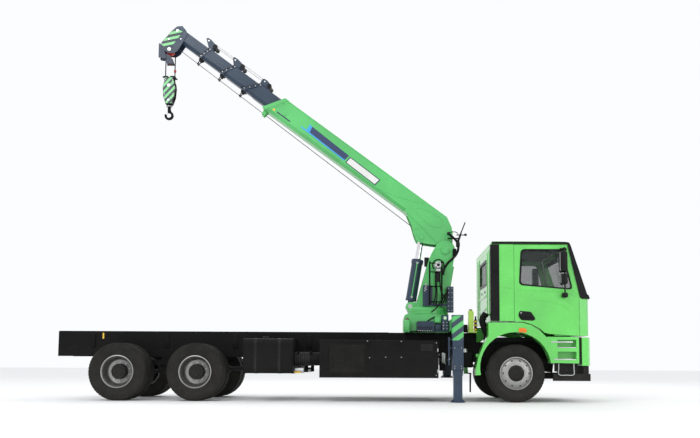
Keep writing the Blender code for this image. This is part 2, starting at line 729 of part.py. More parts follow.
# ---- boom, in its own frame: u along the boom from its pivot, v across it
BASE_SECTION = (HEEL_Y, 0.159, 0.564)  # half width, lower and upper v
SECTION_2 = (0.145, 0.222, 0.511)
SECTION_STEP = 0.009
SECTION_WALL = 0.005
BASE_WALL = 0.012
SECTION_BEND = 0.060
BASE_FRONT = (4.586, 4.326)  # u of the slanted end, low and high
COLLAR_U = (5.190, 5.725, 6.260)  # lower front end of each collar
COLLAR_SLANT = (0.270, 0.160, 0.075)
EAR_U = (4.910, 5.650, 6.320)
ROLLER_U = (4.740, 5.410, 6.100)
COLLAR_LENGTH = 0.075
COLLAR_RISE = 0.010
EAR_TOP = 0.650
ROLLER_V = 0.590
SECTION_REAR = 0.450
REAR_STEP = 0.060
REAR_PAD = 0.150
MOUTH_DEPTH = 0.500
TIP_U = 6.790
HEAD_AXLE = (6.800, 0.000)
HEAD_PLATE_Y = (0.108, 0.128)
SHEAVE_RADIUS = 0.085
EYE_HALF = 0.099
ROD_EYE_RADIUS = 0.075
ROD_EYE_HALF = 0.060
BARREL_LENGTH = 0.940
ROD_DEPTH = 0.430
PIVOT_RADIUS = 0.080
WINCH_AT = (0.175, 0.110)
WINCH_RADIUS = 0.105


def boom_point(u, v):
    """A point of the boom's own frame, in the world at rest."""
    cos, sin = math.cos(BOOM_ANGLE), math.sin(BOOM_ANGLE)
    return (BOOM_PIVOT[0] - u * cos + v * sin, BOOM_PIVOT[1] + u * sin + v * cos)


def side_plate(outline, low, high):
    """An outline of (u, v) pairs, extruded across the boom."""
    return prism([(-u, v) for u, v in outline], low, high)


def section_tube(section, start, end, grow=0.0):
    """The boom's cross-section, its lower corners bent, along u from start to end."""
    half, low, high = section[0] + grow, section[1] - grow, section[2] + grow
    bend = SECTION_BEND
    outline = [
        (-half, low + bend), (-half, high), (half, high), (half, low + bend), (half - bend, low), (-half + bend, low),
    ]
    return prism(outline, -end, -start, axis="X")


def telescope_section(number):
    """Half width and limits of one sliding section, 2 to 5."""
    step = SECTION_STEP * (number - 2)
    return (SECTION_2[0] - step, SECTION_2[1] + step, SECTION_2[2] - step)


def cross_rod(at, half, radius, sides=SIDES):
    return rod((-at[0], -half, at[1]), (-at[0], half, at[1]), radius, sides=sides)


def boom_base(mount):
    half, low, high = BASE_SECTION
    body = side_plate(
        [
            (0.300, low), (BASE_FRONT[0], low), (BASE_FRONT[1], high), (0.360, high), (0.300, 0.530), (0.146, 0.443),
        ],
        -half, half,
    )
    cavity = section_tube(BASE_SECTION, SECTION_REAR - 0.050, 4.100, grow=-BASE_WALL)
    mouth = section_tube(SECTION_2, 4.000, BASE_FRONT[0] + 0.100, grow=SLIP)
    union(cavity, mouth)
    for side in (-1, 1):
        edge, foot = side * (half + 0.010), low - 0.010
        corner = [(edge, foot), (side * (half - SECTION_BEND), foot), (edge, low + SECTION_BEND + 0.010)]
        cut(body, prism(corner, -BASE_FRONT[0] - 0.100, -1.100, axis="X"))
    cheek = [
        (1.050, low + 0.100), (1.050, low), (0.830, 0.030), (0.659, -0.103), (0.560, -0.160), (0.484, -0.152),
        (0.204, 0.000), *arc((0, 0), 0.150, -20, -215, 10), (0.100, 0.400), (0.300, 0.500),
    ]
    for side in (-1, 1):
        union(body, side_plate(cheek, *sided(side, half - PLATE, half)))
    cut(body, cavity)
    union(body, cross_rod((0, 0), FORK_Y - SLIP, PIVOT_RADIUS))
    for side in (-1, 1):
        y = sided(side, ROD_EYE_HALF + 0.010, half - 0.010)
        u, v = LIFT_ROD_PIN
        union(body, rod((-u, y[0], v), (-u, y[1], v), 0.042, sides=20))
    named(body, "boom_base", "crane_green")
    body.parent = mount
    return body


def winch(mount):
    drum = cross_rod(WINCH_AT, HEEL_Y - PLATE - SEAT, 0.080)
    for side in (-1, 1):
        y = sided(side, 0.115, 0.140)
        u, v = WINCH_AT
        union(drum, rod((-u, y[0], v), (-u, y[1], v), WINCH_RADIUS))
    named(drum, "winch", "slate")
    drum.parent = mount
    return drum


def collar(section, index):
    """Slanted band round a section's end, with two ears that carry a roller over the section behind."""
    half, low, high = section[0] + COLLAR_RISE, section[1] - COLLAR_RISE, section[2] + COLLAR_RISE
    front = COLLAR_U[index]
    top = front - COLLAR_SLANT[index]
    tip, roller = EAR_U[index], ROLLER_U[index]
    band = side_plate(
        [(front - COLLAR_LENGTH, low), (front, low), (top, high), (top - COLLAR_LENGTH, high)], -half, half
    )
    for side in (-1, 1):
        ear = side_plate(
            [
                (top, high - 0.020), (tip + 0.030, EAR_TOP - 0.030), (tip, EAR_TOP), (tip - 0.070, EAR_TOP + 0.005),
                (roller - 0.020, ROLLER_V + 0.030), (roller - 0.030, ROLLER_V - 0.020),
                (roller + 0.040, ROLLER_V - 0.020), (top - COLLAR_LENGTH, high - 0.020),
            ],
            *sided(side, half - 0.034, half - 0.020),
        )
        union(band, ear)
    return union(band, cross_rod((roller, ROLLER_V), half - 0.015, 0.030, sides=16))


def boom_section(mount, number):
    section = telescope_section(number)
    rear = SECTION_REAR + REAR_STEP * (number - 2)
    outside = BASE_SECTION if number == 2 else telescope_section(number - 1)
    wall = BASE_WALL if number == 2 else SECTION_WALL
    last = number == 5
    front = TIP_U if last else COLLAR_U[number - 2] - COLLAR_SLANT[number - 2]
    body = section_tube(section, rear, front)
    pad = section_tube(outside, rear, rear + REAR_PAD, grow=-wall - SLIP)
    union(body, pad)
    if last:
        bore = section_tube(section, rear + 0.030, front + 0.1, grow=-SECTION_WALL)
        cut(body, bore)
        union(body, *head_plates())
    else:
        union(body, collar(section, number - 2))
        inside = section_tube(section, rear + 0.030, front - COLLAR_LENGTH - 0.020, grow=-SECTION_WALL)
        mouth = section_tube(telescope_section(number + 1), front - MOUTH_DEPTH, front + 0.500, grow=SLIP)
        union(inside, mouth)
        cut(body, inside)
    named(body, f"boom_section_{number}", "slate")
    body.parent = mount
    return body


def head_plates():
    """Both plates of the boom head, with the cross pins between them."""
    outline = [
        (6.700, 0.470), (6.780, 0.505), (6.882, 0.532), (6.966, 0.454), (6.992, 0.321), (7.011, 0.013),
        (6.974, -0.025), (6.880, -0.075), (6.780, -0.075), (6.690, -0.020), (6.655, 0.070), (6.668, 0.260),
    ]
    pieces = [side_plate(outline, *sided(side, *HEAD_PLATE_Y)) for side in (-1, 1)]
    pieces.append(cross_rod((6.900, 0.400), HEAD_PLATE_Y[1], 0.040, sides=16))
    pieces.append(cross_rod((6.930, 0.160), HEAD_PLATE_Y[1], 0.025, sides=16))
    return pieces


def head_sheave(mount):
    """The lower sheaves on their pin."""
    u, v = HEAD_AXLE
    profile = [
        (0, -0.045), (SHEAVE_RADIUS, -0.045), (SHEAVE_RADIUS - 0.018, -0.030), (SHEAVE_RADIUS, -0.015),
        (SHEAVE_RADIUS, 0.015), (SHEAVE_RADIUS - 0.018, 0.030), (SHEAVE_RADIUS, 0.045), (0, 0.045),
    ]
    wheel = turned(profile, (-u, 0, v))
    union(wheel, cross_rod(HEAD_AXLE, HEAD_PLATE_Y[0] - SEAT, 0.028, sides=16))
    named(wheel, "head_sheave", "red")
    wheel.parent = mount
    return wheel


# ---- hook block, which hangs straight down from the head
BLOCK_Z = (5.790, 6.365)
FALL_RADIUS = 0.008
FALL_OFFSET = SHEAVE_RADIUS + FALL_RADIUS + SEAT
HOOK_BOTTOM = 5.496


def hook_block():
    x, top = boom_point(*HEAD_AXLE)
    low, high = BLOCK_Z
    sheaves = rod((x, -0.050, 6.180), (x, 0.050, 6.180), 0.120)
    cheek = [
        (x - 0.125, 6.150), (x - 0.075, high - 0.010), (x + 0.075, high - 0.010), (x + 0.125, 6.150),
        (x + 0.110, 5.960), (x + 0.060, low + 0.020), (x - 0.060, low + 0.020), (x - 0.110, 5.960),
    ]
    pieces = [prism(cheek, *sided(side, 0.045, 0.075)) for side in (-1, 1)]
    pieces.append(box((x - 0.070, x + 0.070), (-0.060, 0.060), (low + 0.025, 5.930)))
    union(sheaves, *pieces)
    for dx in (-FALL_OFFSET, FALL_OFFSET):
        for y in (-0.011, 0.011):
            union(sheaves, rod((x + dx, y, 6.200), (x + dx, y, top - 0.005), FALL_RADIUS, sides=8))
    named(sheaves, "hook_block", "black_steel")
    return set_origin(sheaves, (x, 0, top))


def hook():
    x, _ = boom_point(*HEAD_AXLE)
    outer, inner = 0.088, 0.046
    middle = HOOK_BOTTOM + outer
    outline = [
        *arc((x, middle), outer, 62, -168, 14), (x - outer * 0.93, middle + 0.030), (x - inner * 1.05, middle + 0.020),
        *arc((x, middle), inner, -168, 62, 12),
    ]
    curl = prism(outline, -0.024, 0.024)
    shank = rod((x, 0, middle + 0.060), (x, 0, BLOCK_Z[0] + 0.020 - SLIP), 0.032, sides=16)
    neck = prism(
        [
            (x - 0.030, middle + 0.110), (x + 0.012, middle + 0.040), (x + 0.045, middle + 0.075),
            (x + 0.030, middle + 0.120),
        ],
        -0.022, 0.022,
    )
    nut = rod((x, 0, BLOCK_Z[0] - 0.035), (x, 0, BLOCK_Z[0] + 0.020 - SLIP), 0.055, sides=6)
    union(curl, neck, shank, nut)
    named(curl, "hook", "black_steel")
    return set_origin(curl, (x, 0, BLOCK_Z[0]))


# ---- lift cylinder, in its own frame: up along its axis from the lower pin
def lift_line():
    """Rest length and lean of the lift cylinder, from its two pins."""
    top = Vector(boom_point(*LIFT_ROD_PIN))
    reach = top - Vector(LIFT_BASE_PIN)
    return reach.length, math.atan2(reach.x, reach.y)


def lift_cylinder():
    length, lean = lift_line()
    bore = ROD_RADIUS + SLIP
    gland = BARREL_RADIUS + 0.012
    barrel = turned(
        [
            (0, 0.110), (BARREL_RADIUS, 0.120), (BARREL_RADIUS, BARREL_LENGTH - 0.090),
            (gland, BARREL_LENGTH - 0.085), (gland, BARREL_LENGTH - 0.012), (BARREL_RADIUS, BARREL_LENGTH),
            (bore, BARREL_LENGTH),
            (bore, 0.190), (0, 0.190),
        ],
        (0, 0, 0), axis="Z",
    )
    union(barrel, rod((0, -EYE_HALF, 0), (0, EYE_HALF, 0), 0.082))
    union(barrel, box((-0.055, 0.055), (-0.075, 0.075), (0.0, 0.150)))
    named(barrel, "lift_barrel", "slate")
    foot = BARREL_LENGTH - ROD_DEPTH
    ram = turned([(0, foot), (ROD_RADIUS, foot), (ROD_RADIUS, length), (0, length)], (0, 0, 0), axis="Z")
    union(ram, rod((0, -ROD_EYE_HALF, length), (0, ROD_EYE_HALF, length), ROD_EYE_RADIUS))
    named(ram, "lift_rod", "chrome")
    for obj in (barrel, ram):
        obj.location = (LIFT_BASE_PIN[0], 0, LIFT_BASE_PIN[1])
        obj.rotation_euler.y = lean


def boom():
    mount = bpy.data.objects.new("boom_pivot", None)
    bpy.context.scene.collection.objects.link(mount)
    mount.location = (BOOM_PIVOT[0], 0, BOOM_PIVOT[1])
    mount.rotation_euler.y = BOOM_ANGLE
    boom_base(mount)
    winch(mount)
    for number in (2, 3, 4, 5):
        boom_section(mount, number)
    head_sheave(mount)
    hook_block()
    hook()
    lift_cylinder()


# ---- cab, a shell on its floor
SIDE_INNER = CAB_HALF - DOOR_WALL
WALL_TOP = 2.855
WINDOW = [(3.670, 2.130), (3.705, 2.754), (4.430, 2.754), (4.600, 2.050)]
DOOR_OUTLINE = [
    (3.563, 1.450), (3.720, 1.448), (3.880, 1.402), (4.030, 1.318), (4.100, 1.255), (4.200, 1.232), (4.731, 1.200),
    (4.731, 1.885), (4.521, 2.849), (3.563, 2.849),
]
PILLAR = [(4.739, 1.860), (4.906, 1.860), (4.590, WALL_TOP - SEAT), (4.528, WALL_TOP - SEAT)]


def cab_floor():
    top = CAB_WALL + 0.010
    front = CAB_FRONT_X - CAB_WALL - SEAT
    profile = [
        (CAB_REAR_X, FLOOR_STEP_Z), (4.100, FLOOR_STEP_Z), (4.300, CAB_FLOOR_Z), (front, CAB_FLOOR_Z),
        (front, CAB_FLOOR_Z + top), (4.330, CAB_FLOOR_Z + top), (4.130, FLOOR_STEP_Z + top),
        (CAB_REAR_X, FLOOR_STEP_Z + top),
    ]
    floor = prism(profile, -SIDE_INNER + DOOR_GAP, SIDE_INNER - DOOR_GAP)
    cut(floor, box((3.0, CAB_SIDE_X), (-CAB_HALF, -CAB_HALF + 0.100), (FLOOR_STEP_Z - 0.1, FLOOR_STEP_Z + 0.1)))
    for side in (-1, 1):
        back = front - 0.034
        corner = [(back, 1.300), (back, 1.152), (front, 1.060), (front + 0.1, 1.060), (front + 0.1, 1.300)]
        cut(floor, prism([(x, side * y) for x, y in corner], 1.100, 1.300, axis="Z"))
    sills = box((CAB_SIDE_X, DOOR_X[0] - DOOR_GAP), (-CAB_HALF, CAB_HALF), (FLOOR_STEP_Z, FLOOR_STEP_Z + top))
    union(floor, sills)
    return named(floor, "cab_floor", "cab_green")


def cab_rear_wall():
    """Back panel with its window, and both side panels behind the doors."""
    half = CAB_HALF
    inner = SIDE_INNER + DOOR_GAP
    rear, side_x, front = CAB_REAR_X, CAB_SIDE_X, DOOR_X[0] - DOOR_GAP
    wall = CAB_WALL
    plan = [
        (front, -half), (side_x, -half), (side_x, -half + 0.100), (rear, -half + 0.100), (rear, half - 0.030),
        (rear + 0.030, half), (front, half), (front, inner), (rear + wall, inner), (rear + wall, -half + 0.140),
        (side_x + wall, -half + 0.140), (side_x + wall, -inner), (front, -inner),
    ]
    low = FLOOR_STEP_Z + CAB_WALL + 0.010 + SEAT
    made = prism(plan, low, WALL_TOP, axis="Z")
    cut(made, box((rear - 0.1, rear + 0.1), (-0.480, 0.480), (2.190, 2.640)))
    return named(made, "cab_rear_wall", "cab_green")


def cab_roof():
    low = WALL_TOP + SEAT
    profile = [
        (CAB_REAR_X, low), (CAB_REAR_X, 2.900), (3.200, CAB_ROOF_Z), (4.420, CAB_ROOF_Z), (4.575, 2.880), (4.595, low),
    ]
    roof = prism(profile, -CAB_HALF, CAB_HALF)
    bevel = roof.modifiers.new("edge", "BEVEL")
    bevel.width = 0.012
    bevel.segments = 2
    bevel.limit_method = "ANGLE"
    bevel.angle_limit = math.radians(60)
    return named(roof, "cab_roof", "cab_green")


def cab_front():
    """Front panel with its corners, both windscreen pillars and the header."""
    half = CAB_HALF
    inner = SIDE_INNER + DOOR_GAP
    rear = DOOR_X[1] + DOOR_GAP
    front = CAB_FRONT_X
    wall = CAB_WALL
    plan = [
        (rear, -half), (front - 0.050, -half + 0.010), (front - 0.008, -half + 0.060), (front, -half + 0.150),
        (front, half - 0.150), (front - 0.008, half - 0.060), (front - 0.050, half - 0.010), (rear, half),
        (rear, inner), (front - wall - 0.030, inner - 0.010), (front - wall, half - 0.140),
        (front - wall, -half + 0.140), (front - wall - 0.030, -inner + 0.010), (rear, -inner),
    ]
    panel = prism(plan, CAB_FLOOR_Z + SEAT, PANEL_TOP_Z, axis="Z")
    for side in (-1, 1):
        union(panel, prism(PILLAR, *sided(side, half - 0.105, half - 0.002)))
        for z in (1.400, 1.780):
            pad_y = sided(side, half - 0.030, half - 0.004)
            union(panel, box((DOOR_X[1] + SEAT, rear + 0.020), pad_y, (z, z + 0.060)))
    top = WALL_TOP - SEAT
    header = [(4.545, 2.785), (4.614, 2.785), (4.592, top), (4.528, top)]
    union(panel, prism(header, -half + 0.1, half - 0.1))
    return named(panel, "cab_front", "cab_green")


def windscreen():
    low, high = PANEL_TOP_Z + SEAT, 2.785 - SEAT
    foot, head = 4.880, 4.594
    thick = 0.014
    made = prism(
        [(foot, low), (foot + thick, low), (head + thick, high), (head, high)],
        -CAB_HALF + 0.105 + SEAT, CAB_HALF - 0.105 - SEAT,
    )
    return named(made, "windscreen", "glass")


def air_intake():
    """Louvred stack in the right rear corner of the cab."""
    made = box(
        (CAB_REAR_X - 0.015, CAB_SIDE_X - SEAT), (-CAB_HALF, -CAB_HALF + 0.100 - SEAT), (1.470, WALL_TOP - SEAT)
    )
    return named(made, "air_intake", "black_plastic")


def dashboard():
    front = CAB_FRONT_X - CAB_WALL - SEAT
    block = prism([(front, 1.600), (front, 1.870), (4.620, 1.850), (4.500, 1.740), (4.560, 1.600)], -1.060, 1.060)
    centre = Vector((4.330, 0.560, 1.960))
    away = Vector((0.62, 0.0, -0.78))
    shaft = rod(centre, centre + away * 0.330, 0.030, sides=12)
    bm = bmesh.new()
    bmesh.ops.create_cone(bm, cap_ends=True, segments=24, radius1=0.235, radius2=0.235, depth=0.030)
    wheel = shape("wheel", bm, None)
    hole = rod((0, 0, -0.1), (0, 0, 0.1), 0.200, sides=24)
    cut(wheel, hole)
    union(wheel, box((-0.212, 0.212), (-0.020, 0.020), (-0.012, 0.012)))
    wheel.data.transform(Matrix.Translation(centre) @ away.to_track_quat("Z", "Y").to_matrix().to_4x4())
    union(block, shaft, wheel)
    return named(block, "dashboard", "black_plastic")


def seat(word, y):
    floor = FLOOR_STEP_Z + CAB_WALL + 0.010 + SEAT
    made = box((3.720, 4.020), (y - 0.150, y + 0.150), (floor, 1.700))
    cushion = prism(
        [(3.600, 1.690), (4.110, 1.690), (4.125, 1.800), (4.080, 1.830), (3.600, 1.800)], y - 0.250, y + 0.250
    )
    back = prism([(3.600, 1.760), (3.730, 1.790), (3.620, 2.420), (3.520, 2.420)], y - 0.240, y + 0.240)
    rest = prism([(3.540, 2.400), (3.600, 2.400), (3.600, 2.620), (3.520, 2.620)], y - 0.130, y + 0.130)
    union(made, cushion, back, rest)
    return named(made, "seat_" + word, "seat_cloth")


def door(side, word):
    made = prism(DOOR_OUTLINE, *sided(side, SIDE_INNER, CAB_HALF))
    cut(made, prism(WINDOW, -1.5, 1.5))
    named(made, "door_" + word, "cab_green")
    return set_origin(made, (DOOR_X[1], side * CAB_HALF, DOOR_OUTLINE[6][1]))


def mirror(side, word):
    """Two mirror heads on a bar that two arms hold off the door."""
    bar_x, bar_y = 4.455, side * 1.330
    bar = rod((bar_x, bar_y, 1.880), (bar_x, bar_y, 2.790), 0.014, sides=10)
    pieces = [
        box((bar_x - 0.020, bar_x + 0.020), sided(side, CAB_HALF + SEAT, 1.345), (2.765, 2.795)),
        box((bar_x - 0.050, bar_x + 0.060), sided(side, CAB_HALF + SEAT, 1.345), (1.880, 1.975)),
        box((bar_x - 0.110, bar_x + 0.030), sided(side, 1.285, 1.480), (2.330, 2.710)),
        box((bar_x - 0.100, bar_x + 0.030), sided(side, 1.290, 1.475), (2.110, 2.300)),
    ]
    union(bar, *pieces)
    return named(bar, "mirror_" + word, "black_plastic")


def cab_mounts(frame):
    """Front and rear cab supports, part of the frame."""
    for side in (-1, 1):
        y = sided(side, RAIL_Y - 0.080, RAIL_Y)
        union(frame, box((4.580, 4.740), y, (RAIL_TOP - 0.010, CAB_FLOOR_Z - SEAT)))
        union(frame, box((3.200, 3.260), y, (RAIL_TOP - 0.005, FLOOR_STEP_Z - SEAT)))
    return frame


def cab():
    cab_floor()
    cab_rear_wall()
    cab_roof()
    cab_front()
    windscreen()
    air_intake()
    dashboard()
    seat("driver", 0.560)
    seat("passenger", -0.560)
    for side, word in ((-1, "right"), (1, "left")):
        leaf = door(side, word)
        glass = mirror(side, word)
        glass.parent = leaf
        glass.matrix_parent_inverse = Matrix.Translation(-leaf.location)


def build():
    clear_scene()
    cab_mounts(frame_rails())
    subframe()
    front_axle()
    rear_axle("rear_axle_front", REAR_AXLE_X[0])
    rear_axle("rear_axle_rear", REAR_AXLE_X[1])
    bogie_suspension()
    engine()
    side_boxes()
    fuel_tanks()
    bumper()
    underrun_bar()
    fenders()
    running_gear()
    crane_base()
    outriggers()
    control_bank()
    coolant_tank()
    column()
    column_equipment()
    hose_frame()
    boom()
    cab()


build()
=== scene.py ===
"""Looks of the mobile crane: materials for every solid, and the trim that its CAD leaves out."""
import json
import math

import bmesh
import bpy
from mathutils import Matrix, Vector


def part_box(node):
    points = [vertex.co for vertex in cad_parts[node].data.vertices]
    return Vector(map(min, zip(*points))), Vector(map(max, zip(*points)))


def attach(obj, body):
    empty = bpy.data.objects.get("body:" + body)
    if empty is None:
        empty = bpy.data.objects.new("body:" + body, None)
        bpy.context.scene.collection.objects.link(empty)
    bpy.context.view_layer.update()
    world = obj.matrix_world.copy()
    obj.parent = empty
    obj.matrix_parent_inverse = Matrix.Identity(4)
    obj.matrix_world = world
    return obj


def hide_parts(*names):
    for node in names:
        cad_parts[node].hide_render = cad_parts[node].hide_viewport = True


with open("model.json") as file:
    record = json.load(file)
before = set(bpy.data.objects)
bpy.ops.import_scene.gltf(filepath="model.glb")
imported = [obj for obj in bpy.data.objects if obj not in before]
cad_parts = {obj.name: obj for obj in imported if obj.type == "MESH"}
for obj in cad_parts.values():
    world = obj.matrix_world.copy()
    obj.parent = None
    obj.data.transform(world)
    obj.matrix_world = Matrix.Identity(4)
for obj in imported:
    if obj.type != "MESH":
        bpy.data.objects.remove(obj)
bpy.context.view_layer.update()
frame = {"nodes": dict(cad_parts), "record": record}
NODES = frame["nodes"]

# ---- places, from the frame
LOW = {name: Vector(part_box(name)[0]) for name in NODES}
HIGH = {name: Vector(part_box(name)[1]) for name in NODES}
JOINTS = {joint["name"]: joint for joint in frame["record"]["behaviour"]["joints"]}
SIDES = ((-1, "right"), (1, "left"))


# ---- node graph helpers
def new_material(name):
    mat = bpy.data.materials.new(name)
    mat.use_nodes = True
    return mat, mat.node_tree, mat.node_tree.nodes["Principled BSDF"]


def add(tree, kind, **values):
    node = tree.nodes.new(kind)
    for key, value in values.items():
        if key in node.inputs:
            node.inputs[key].default_value = value
        else:
            setattr(node, key, value)
    return node


def place(tree, scale=1.0):
    """Coordinates fixed to the solid, in metres."""
    coords = add(tree, "ShaderNodeTexCoord")
    mapping = add(tree, "ShaderNodeMapping")
    mapping.inputs["Scale"].default_value = (scale, scale, scale)
    tree.links.new(coords.outputs["Object"], mapping.inputs["Vector"])
    return mapping.outputs["Vector"]


def noise(tree, scale, detail=4.0, roughness=0.55, vector=None):
    node = add(tree, "ShaderNodeTexNoise")
    node.inputs["Scale"].default_value = scale
    node.inputs["Detail"].default_value = detail
    node.inputs["Roughness"].default_value = roughness
    tree.links.new(vector or place(tree), node.inputs["Vector"])
    return node.outputs["Fac"]


def ramp(tree, fac, stops):
    node = add(tree, "ShaderNodeValToRGB")
    elements = node.color_ramp.elements
    while len(elements) < len(stops):
        elements.new(0.5)
    for element, (position, colour) in zip(elements, stops):
        element.position = position
        element.color = (*colour, 1.0) if len(colour) == 3 else colour
    tree.links.new(fac, node.inputs["Fac"])
    return node.outputs["Color"]


def spread(tree, fac, low, high):
    node = add(tree, "ShaderNodeMapRange")
    node.inputs["To Min"].default_value = low
    node.inputs["To Max"].default_value = high
    tree.links.new(fac, node.inputs["Value"])
    return node.outputs["Result"]


def mix(tree, fac, first, second):
    node = add(tree, "ShaderNodeMix", data_type="RGBA")
    for socket, value in ((0, fac), (6, first), (7, second)):
        if isinstance(value, bpy.types.NodeSocket):
            tree.links.new(value, node.inputs[socket])
        else:
            node.inputs[socket].default_value = (*value, 1.0) if socket else value
    return node.outputs[2]


def maths(tree, operation, first, second=0.0):
    node = add(tree, "ShaderNodeMath", operation=operation)
    for socket, value in enumerate((first, second)):
        if isinstance(value, bpy.types.NodeSocket):
            tree.links.new(value, node.inputs[socket])
        else:
            node.inputs[socket].default_value = value
    return node.outputs[0]


def bump(tree, shader, height, strength, distance=0.002):
    node = add(tree, "ShaderNodeBump")
    node.inputs["Strength"].default_value = strength
    node.inputs["Distance"].default_value = distance
    tree.links.new(height, node.inputs["Height"])
    tree.links.new(node.outputs["Normal"], shader.inputs["Normal"])


def dust(tree, colour, amount, dusty=(0.36, 0.33, 0.28)):
    """Road dust that gathers in soft patches, more of it toward the ground."""
    coords = add(tree, "ShaderNodeTexCoord")
    split = add(tree, "ShaderNodeSeparateXYZ")
    tree.links.new(coords.outputs["Object"], split.inputs[0])
    near_ground = add(tree, "ShaderNodeMapRange")
    near_ground.inputs["From Min"].default_value = 1.6
    near_ground.inputs["From Max"].default_value = 0.1
    tree.links.new(split.outputs["Z"], near_ground.inputs["Value"])
    patches = noise(tree, 3.2, 6.0, 0.6)
    fine = noise(tree, 34.0, 3.0, 0.6)
    both = maths(tree, "MULTIPLY", maths(tree, "MULTIPLY", patches, fine), near_ground.outputs["Result"])
    return mix(tree, maths(tree, "MULTIPLY", both, amount), colour, dusty)


# ---- materials
def paint(name, base, rough, dusty, shade=0.12, coat=0.35, shine=0.5):
    """Sprayed paint: slight tone drift, orange peel, dust and a clear coat."""
    mat, tree, shader = new_material(name)
    shader.inputs["Specular IOR Level"].default_value = shine
    dark = tuple(c * (1 - shade) for c in base)
    light = tuple(min(1.0, c * (1 + shade * 0.6)) for c in base)
    tone = ramp(tree, noise(tree, 1.4, 3.0), [(0.35, dark), (0.68, light)])
    tree.links.new(dust(tree, tone, dusty), shader.inputs["Base Color"])
    tree.links.new(spread(tree, noise(tree, 9.0, 5.0), rough * 0.8, rough * 1.3), shader.inputs["Roughness"])
    shader.inputs["Coat Weight"].default_value = coat
    shader.inputs["Coat Roughness"].default_value = 0.12
    bump(tree, shader, noise(tree, 260.0, 2.0), 0.05, 0.0006)
    return mat


def rubber(name, base=(0.0075, 0.0075, 0.0070)):
    mat, tree, shader = new_material(name)
    shader.inputs["Specular IOR Level"].default_value = 0.14
    worn = tuple(c * 2.1 for c in base)
    tone = ramp(tree, noise(tree, 7.0, 6.0), [(0.3, base), (0.8, worn)])
    tree.links.new(dust(tree, tone, 0.16), shader.inputs["Base Color"])
    tree.links.new(spread(tree, noise(tree, 22.0), 0.62, 0.88), shader.inputs["Roughness"])
    bump(tree, shader, noise(tree, 420.0, 3.0), 0.25, 0.0010)
    return mat


def plastic(name, base, rough=0.55, grain=600.0, shine=0.5, dusty=0.16):
    mat, tree, shader = new_material(name)
    shader.inputs["Specular IOR Level"].default_value = shine
    light = tuple(c * 1.5 + 0.004 for c in base)
    tone = ramp(tree, noise(tree, 2.3, 4.0), [(0.3, base), (0.75, light)])
    tree.links.new(dust(tree, tone, dusty), shader.inputs["Base Color"])
    tree.links.new(spread(tree, noise(tree, 14.0), rough * 0.85, rough * 1.2), shader.inputs["Roughness"])
    cells = add(tree, "ShaderNodeTexVoronoi")
    cells.inputs["Scale"].default_value = grain
    tree.links.new(place(tree), cells.inputs["Vector"])
    bump(tree, shader, cells.outputs["Distance"], 0.18, 0.0006)
    return mat


def metal(name, base, rough, brushed=False, dusty=0.25):
    mat, tree, shader = new_material(name)
    shader.inputs["Metallic"].default_value = 0.95
    tone = ramp(tree, noise(tree, 5.0, 5.0), [(0.3, tuple(c * 0.8 for c in base)), (0.75, base)])
    tree.links.new(dust(tree, tone, dusty), shader.inputs["Base Color"])
    tree.links.new(spread(tree, noise(tree, 30.0, 6.0), rough * 0.7, rough * 1.5), shader.inputs["Roughness"])
    bump(tree, shader, noise(tree, 90.0 if brushed else 300.0, 2.0), 0.08, 0.0008)
    return mat


def glass(name, tint=(0.050, 0.062, 0.060), through=0.30):
    mat, tree, shader = new_material(name)
    tone = ramp(tree, noise(tree, 0.9, 2.0), [(0.3, tuple(c * 0.92 for c in tint)), (0.8, tint)])
    tree.links.new(tone, shader.inputs["Base Color"])
    tree.links.new(spread(tree, noise(tree, 6.0), 0.015, 0.05), shader.inputs["Roughness"])
    shader.inputs["Transmission Weight"].default_value = through
    shader.inputs["IOR"].default_value = 1.45
    shader.inputs["Alpha"].default_value = 0.34
    return mat


def cloth(name, base):
    mat, tree, shader = new_material(name)
    wave_a = add(tree, "ShaderNodeTexWave", bands_direction="Y")
    wave_b = add(tree, "ShaderNodeTexWave", bands_direction="Z")
    for wave in (wave_a, wave_b):
        wave.inputs["Scale"].default_value = 160.0
        wave.inputs["Distortion"].default_value = 0.6
        tree.links.new(place(tree), wave.inputs["Vector"])
    weave = maths(tree, "MULTIPLY", wave_a.outputs["Fac"], wave_b.outputs["Fac"])
    tone = ramp(tree, weave, [(0.1, tuple(c * 0.7 for c in base)), (0.8, tuple(c * 1.3 for c in base))])
    tree.links.new(tone, shader.inputs["Base Color"])
    tree.links.new(spread(tree, noise(tree, 11.0), 0.82, 0.96), shader.inputs["Roughness"])
    shader.inputs["Sheen Weight"].default_value = 0.35
    bump(tree, shader, weave, 0.35, 0.0012)
    return mat


def striped(name, first, second, direction, width, rough=0.42, offset=0.0):
    """Warning bands: two paints in slanted stripes across the solid."""
    mat, tree, shader = new_material(name)
    coords = add(tree, "ShaderNodeTexCoord")
    along = add(tree, "ShaderNodeVectorMath", operation="DOT_PRODUCT")
    along.inputs[1].default_value = Vector(direction).normalized()
    tree.links.new(coords.outputs["Object"], along.inputs[0])
    step = maths(tree, "FRACT",
                 maths(tree, "DIVIDE", maths(tree, "ADD", along.outputs["Value"], offset), width * 2))
    pick = maths(tree, "GREATER_THAN", step, 0.5)
    tone = mix(tree, pick, first, second)
    tree.links.new(dust(tree, tone, 0.25), shader.inputs["Base Color"])
    tree.links.new(spread(tree, noise(tree, 9.0, 5.0), rough * 0.8, rough * 1.3), shader.inputs["Roughness"])
    bump(tree, shader, noise(tree, 260.0, 2.0), 0.05, 0.0006)
    return mat


